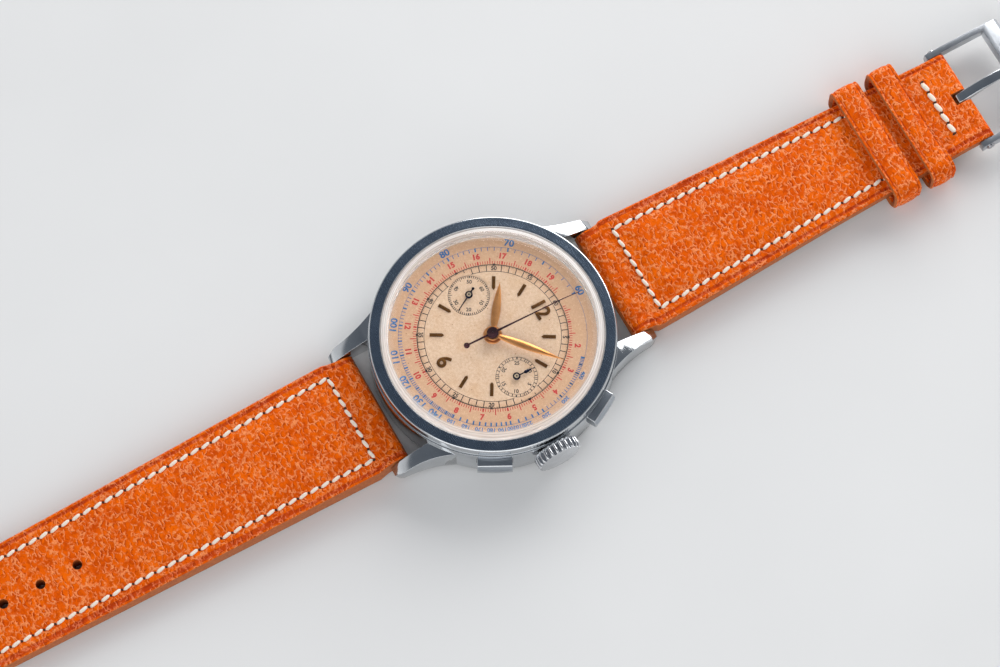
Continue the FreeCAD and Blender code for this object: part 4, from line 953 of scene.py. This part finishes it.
def strap_section(half, low, high, padding, fraction):
    """Point of the strap's cross-section: shaped upper face, upright sides and flat underside.

    The upper face takes top_share of the points, each side side_share of the others.
    """
    thickness = high - low
    edge = min(0.45, thickness * 0.25)
    top_share, side_share = 0.68, 0.12
    if fraction < top_share:
        x = half * (1 - 2 * fraction / top_share)
        return x, high + strap_face(half, thickness, padding, x)
    down = (fraction - top_share) / (1 - top_share)
    if down < side_share:
        return -half, high - edge - (thickness - 2 * edge) * down / side_share
    if down > 1 - side_share:
        return half, low + edge * 0.6 + (thickness - 1.6 * edge) * (down - 1 + side_share) / side_share
    x = -half + 2 * half * (down - side_share) / (1 - 2 * side_share)
    return x, low + edge * 0.6 * max(0.0, 1 - (half - abs(x)) / (edge * 1.2)) ** 2


def strap_body(name, stations, half_at, faces_at, pad_at, sides=96):
    """Strap lofted along the given stations (distance from the centre of the watch)."""
    count = len(stations) - 1

    def place(side, run):
        y = stations[min(count, round(run * count))]
        x, z = strap_section(half_at(y), *faces_at(y), pad_at(y), side)
        return x, y, z

    return bar_form(name, sides, count - 1, place)


def spaced(start, end, step):
    count = max(1, round(abs(end - start) / step))
    return [start + (end - start) * k / count for k in range(count + 1)]


def between(value, points):
    """Height or width at a distance, by straight runs between (distance, value) points."""
    if value <= points[0][0]:
        return points[0][1]
    for (a, va), (b, vb) in zip(points, points[1:]):
        if value <= b:
            return va + (vb - va) * (value - a) / (b - a)
    return points[-1][1]


def rounded_end(y, end, radius):
    """Share of full thickness near a rounded end at distance y."""
    near = min(1.0, max(0.0, abs(y - end) / radius))
    return sqrt(max(0.0, 1 - (1 - near) ** 2))


def stations_to(end, coarse_left, fine_left, step):
    """Places of the rings from the nose to the end: fine at the nose, coarse along, finer again at the end."""
    coarse = spaced(nose + 2.4, end - coarse_left, 0.42)
    return spaced(nose, nose + 2, 0.12) + coarse + spaced(end - fine_left, end, step)


def faces_of(lows, tops, ends):
    """Function from a distance to the strap's lower and upper height there, rounded off at the ends."""

    def faces_at(y):
        low, high = between(y, lows), between(y, tops)
        middle, half = (low + high) / 2, (high - low) / 2
        half *= max(0.05, min(rounded_end(y, end, half) for end in ends))
        return middle - half, middle + half

    return faces_at


nose, fold_end = (corner.y for corner in corners("strap_buckle_side"))
tail_low, tail_high = corners("strap_tail_side")
tail_end, strap_half, strap_low, strap_high = -tail_low.y, tail_high.x, tail_low.z, tail_high.z
lug_half, buckle_half, tail_half = 8.85, 7.45, 7.7
shoulder = bar_reach + 1.9
fold_low, fold_high = fold_z - 1.35, fold_z + 1.35
slot_width = 1.9
tip_length = 9.0


def shoulder_half(y, half):
    return lug_half + (half - lug_half) * smooth_step(y, shoulder - 0.5, shoulder + 0.5)


def buckle_half_at(y):
    outline = [(shoulder, strap_half), (buckle_reach - 3, buckle_half), (fold_end, buckle_half)]
    return shoulder_half(y, between(y, outline))


def tail_half_at(y):
    wide = between(y, [(shoulder, strap_half), (tail_end - tip_length, tail_half)])
    tip = min(1.0, max(0.0, (tail_end - y) / tip_length))
    return shoulder_half(y, wide) * max(0.03, (1 - (1 - tip) ** 2.4))


def stitch_row(name, rows, surface, body, width=0.55, length=stitch_length):
    """Thread over each row of (start, end) points, each stitch dipping into its holes."""
    master = ball(name, 8, 8, (1, 1, 1))
    for vertex in master.data.vertices:
        along = min(0.999, abs(vertex.co.y) / (0.5 * mm))
        fuller = (1 - along ** 3) ** (1 / 3) / sqrt(1 - along ** 2)
        vertex.co.x *= fuller
        vertex.co.z *= fuller
    resized(master, width, length, thread_height)
    # Painted shade: a dark flattened disc at each needle hole, where the hole is in shadow.
    holes = ball(name + "_holes", 8, 6, (width, 0.36, 0.14))
    stitch_places, hole_places = [], []
    for start, end in rows:
        count = round(dist(start, end) / stitch_pitch)
        way = (Vector(end) - Vector(start)) / count
        lean = atan2(way.x, way.y) - stitch_slant
        for k in range(count + 1):
            x, y = start[0] + way.x * k, start[1] + way.y * k
            hole_places.append(at(x, y, surface(x, y) + hole_lift, lean))
            if k < count:
                x, y = x + way.x / 2, y + way.y / 2
                stitch_places.append(at(x, y, surface(x, y) + thread_lift, lean))
    finish(copies(master, name, stitch_places), 60, thread, "strap_leather", body)
    dress(copies(holes, name + "_holes", hole_places), stitch_hole_shade, "strap_leather", body)


def cut(piece, cutter):
    """Takes the cutter's shape out of a piece."""
    modified(piece, "BOOLEAN", operation="DIFFERENCE", solver="EXACT", object=cutter)
    bpy.data.objects.remove(cutter)


def paint_edges(piece, half_at):
    """Cut leather on the upright sides, lining on the underside, darker wax in the crease."""

    def choose(face):
        if face.normal.z < 0.35:
            return 2 if face.normal.z < -0.6 else 1
        inset = half_at(abs(face.center.y) / mm) - abs(face.center.x) / mm
        return 3 if abs(inset - crease_inset) < crease_half_width else 0

    paint(piece, (edge_hide, lining_hide, crease_hide), choose)


def make_half(piece, cutters, half_at, faces_at, pad_at, body, node):
    """Cuts and dresses one half; gives the height of its upper face at a place, for its stitches."""
    for cutter in cutters:
        cut(piece, cutter)
    finish(piece, 40, strap_hide, "strap_leather", body, node)
    paint_edges(piece, half_at)

    def surface(x, y):
        y = abs(y)
        low, high = faces_at(y)
        return high + strap_face(half_at(y), high - low, pad_at(y), x)

    return surface


def stitch_corners(half_at, first, last, sign):
    """Places where the stitches across the strap and those along it meet, and where the long rows end."""
    near, far = half_at(first) - strap_margin, half_at(last) - strap_margin
    return (-near, sign * first), (near, sign * first), (-far, sign * last), (far, sign * last)


def make_buckle_half():
    """Short half: padded by the case, thinner to the fold round the buckle bar, slotted for the tongue."""
    keeper_start = corners("sliding_keeper")[0].y
    thin = keeper_start - 10
    first_row, fold_row = 24.1, 76.0        # distances of the two rows of stitches across it
    faces_at = faces_of(
        [(nose, strap_low), (bar_reach + 8, strap_low), (thin, fold_low), (fold_end, fold_low)],
        [(nose, strap_high), (bar_reach + 12, strap_high), (thin, fold_high), (fold_end, fold_high)],
        (nose, fold_end))

    def pad_at(y):
        return pad_rise * smooth_step(y, 24.5, 27) * (1 - smooth_step(y, 44, 64))

    stations = stations_to(fold_end, 1.6, 1.4, 0.1)
    piece = strap_body("buckle_strap_hide", stations, buckle_half_at, faces_at, pad_at)
    slot = moved(box_form("slot_cutter", slot_width, 6, 8), at(0, buckle_reach + 1.6, 0))
    cutters = [slot, cutter_rod("slot_end", slot_width / 2, 8, buckle_reach - 1.4)]
    surface = make_half(piece, cutters, buckle_half_at, faces_at, pad_at, "buckle_strap", "strap_buckle_side")
    left, right, far_left, far_right = stitch_corners(buckle_half_at, first_row, keeper_start + 3.5, 1)
    rows = [(left, right), (left, far_left), (right, far_right)]
    stitch_row("buckle_stitches", rows, surface, "buckle_strap")
    stitch_row("fold_stitches", [((-4.75, fold_row), (4.65, fold_row))], surface, "buckle_strap", 0.8, 1.7)


def make_tail_half():
    """Long half: padded by the case, thinner along its length, with buckle holes and a tapered end."""
    hole_first, hole_pitch, hole_count, hole_radius = 68.0, 5.9, 7, 0.72
    thin = strap_low + 3.0
    first_row = 23.5
    tops = [(nose, strap_high), (bar_reach + 12, strap_high), (hole_first, thin), (tail_end, thin - 0.2)]
    faces_at = faces_of([(nose, strap_low)], tops, [nose])

    def pad_at(y):
        return pad_rise * smooth_step(y, 23.8, 26.5) * (1 - smooth_step(y, 45, 70))

    stations = stations_to(tail_end, 9.5, 9.2, 0.2)
    piece = resized(strap_body("tail_strap_hide", stations, tail_half_at, faces_at, pad_at), -1, -1, 1)
    holes = [cutter_rod("hole", hole_radius, 12, -(hole_first + k * hole_pitch)) for k in range(hole_count)]
    cutters = [joined(holes, "hole_cutters")]
    surface = make_half(piece, cutters, tail_half_at, faces_at, pad_at, "tail_strap", "strap_tail_side")
    left, right, far_left, far_right = stitch_corners(tail_half_at, first_row, tail_end - 11.0, -1)
    tip = (0, -(tail_end - 3.4))
    rows = [(left, right), (left, far_left), (right, far_right), (far_left, tip), (far_right, tip)]
    stitch_row("tail_stitches", rows, surface, "tail_strap")


def make_keeper(node, body):
    """Leather loop with rounded corners and a crease by each edge."""
    low, high = corners(node)
    half, start, width = high.x, low.y, high.y - low.y
    middle_z, rise = (high.z + low.z) / 2, (high.z - low.z) / 2
    wall, corner, edge = 1.15, 1.55, 0.34
    outer_share = 0.6        # of the points across the loop, for its outer face
    corner_x, corner_z = half - corner, rise - corner
    path = []
    for right, up, begin in ((1, 1, 0), (-1, 1, 90), (-1, -1, 180), (1, -1, 270)):
        for k in range(9):
            turn = radians(begin + 90 * k / 8)
            out_x, out_z = cos(turn), sin(turn)
            path.append((right * corner_x + corner * out_x, up * corner_z + corner * out_z, out_x, out_z))
        if right == up:
            path += [(up * corner_x * (1 - 2 * k / 40), up * rise, 0, up) for k in range(1, 40)]
    count = len(path)

    def place(turn, side):
        x, z, out_x, out_z = path[round(turn * count) % count]
        if side < outer_share:
            along = side / outer_share
            inset = min(along, 1 - along) * width
            depth = edge * (1 - sqrt(max(0.0, 1 - max(0.0, 1 - inset / edge) ** 2)))
            depth += 0.11 * exp(-((inset - 0.62) / 0.14) ** 2) - 0.1 * smooth_step(inset, 0.8, 1.6)
        else:
            along = 1 - (side - outer_share) / (1 - outer_share)
            depth = wall - 0.02 if 0.08 < along < 0.92 else wall * 0.82
        return x - out_x * depth, start + width * along, middle_z + z - out_z * depth

    def choose(face):
        if abs(face.normal.y) > 0.72:
            return 1
        run = face.center.y / mm - start
        return 2 if abs(min(run, width - run) - 0.66) < 0.12 and face.normal.z > -0.5 else 0

    piece = finish(loop_form(node + "_hide", count, 40, place), 50, strap_hide, "strap_leather", body, node)
    paint(piece, (edge_hide, crease_hide), choose)


# ---- carried-over nodes
def dress_nodes():
    """Materials of the CAD nodes that stay."""
    finishes = {"gilt": gilt_plate, "wheel_brass": wheel_brass, "movement_steel": works_steel,
                "case_steel": case_polish, "polished_metal": hand_gold, "buckle_steel": buckle_brushed,
                "dial": dial_finish, "crystal": crystal_clear, "strap_leather": strap_hide,
                "rose_gold": marker_gold, "blued_steel": blued_steel}
    own = {"spring_bars": bar_steel, "crown_tube": bar_steel}
    for part in frame["record"]["subparts"]:
        node = nodes[part["node"]]
        material = own.get(part["node"], finishes[part["material_slot"]])
        if not node.material_slots:
            node.data.materials.append(material)
        for slot in node.material_slots:
            slot.material = material


# ---- floor, light and camera
def make_floor():
    floor = primitive("plane", "floor", size=3.0, location=(0, 0, cad_low.z - 0.02 * mm))
    floor.data.materials.append(floor_paper())


def softbox(name, place, aim, size, power):
    light = bpy.data.lights.new(name, "AREA")
    light.shape = "RECTANGLE"
    light.size, light.size_y = size
    light.energy = power
    lamp = linked(name, light)
    lamp.location = place
    lamp.rotation_euler = (Vector(aim) - Vector(place)).to_track_quat("-Z", "Y").to_euler()


def make_light():
    """Two large softboxes and a room that is pale low down and dim overhead."""
    softbox("window", (-0.48, 0.62, 0.36), (0, 0.02, 0), (0.9, 0.62), 7.4)
    softbox("fill", (0.5, -0.35, 0.6), (0, 0, 0), (0.9, 0.8), 2.9)
    world = bpy.data.worlds.new("room")
    bpy.context.scene.world = world
    world.use_nodes = True
    tree = world.node_tree
    split = add(tree, "SeparateXYZ", Vector=add(tree, "TexCoord").outputs["Generated"])
    shade = ramp(tree, split.outputs["Z"], [
        (0.0, (0.16, 0.17, 0.19)), (0.1, (0.18, 0.19, 0.21)), (0.15, (1.15, 1.15, 1.15)),
        (0.45, (0.95, 0.96, 0.98)), (0.62, (0.8, 0.81, 0.83)), (0.69, (0.2, 0.22, 0.25)),
        (1.0, (0.14, 0.16, 0.19))])
    set_up(tree, tree.nodes["Background"], Color=shade, Strength=0.86)


def make_camera():
    """Nearly overhead, turned so that 12 o'clock lies to the upper right."""
    azimuth, elevation = radians(60.9), radians(71.339)
    right = Vector((cos(azimuth), sin(azimuth), 0))
    back = Vector((right.y * cos(elevation), -right.x * cos(elevation), sin(elevation)))
    up = back.cross(right)
    camera = linked("camera", bpy.data.cameras.new("camera"))
    camera.data.sensor_width = 36
    camera.data.lens = 127.72
    camera.data.clip_start, camera.data.clip_end = 0.02, 10
    eye = Vector((143.9125, -78.8924, 494.5975)) * mm
    camera.matrix_world = Matrix.Translation(eye) @ Matrix((right, up, back)).transposed().to_4x4()
    bpy.context.scene.camera = camera


dress_nodes()
make_case_metal()
make_bezel()
make_crystal()
make_seconds_track()
make_distance_scale()
make_speed_scale()
make_subdial_print()
make_applied_numerals()
make_centre_hands()
make_sweep_hand()
make_small_hands()
make_buckle_half()
make_tail_half()
make_keeper("sliding_keeper", "sliding_keeper")
make_keeper("fixed_keeper", "buckle_strap")
make_floor()
make_light()
make_camera()
bpy.context.scene.view_settings.view_transform = "Standard"
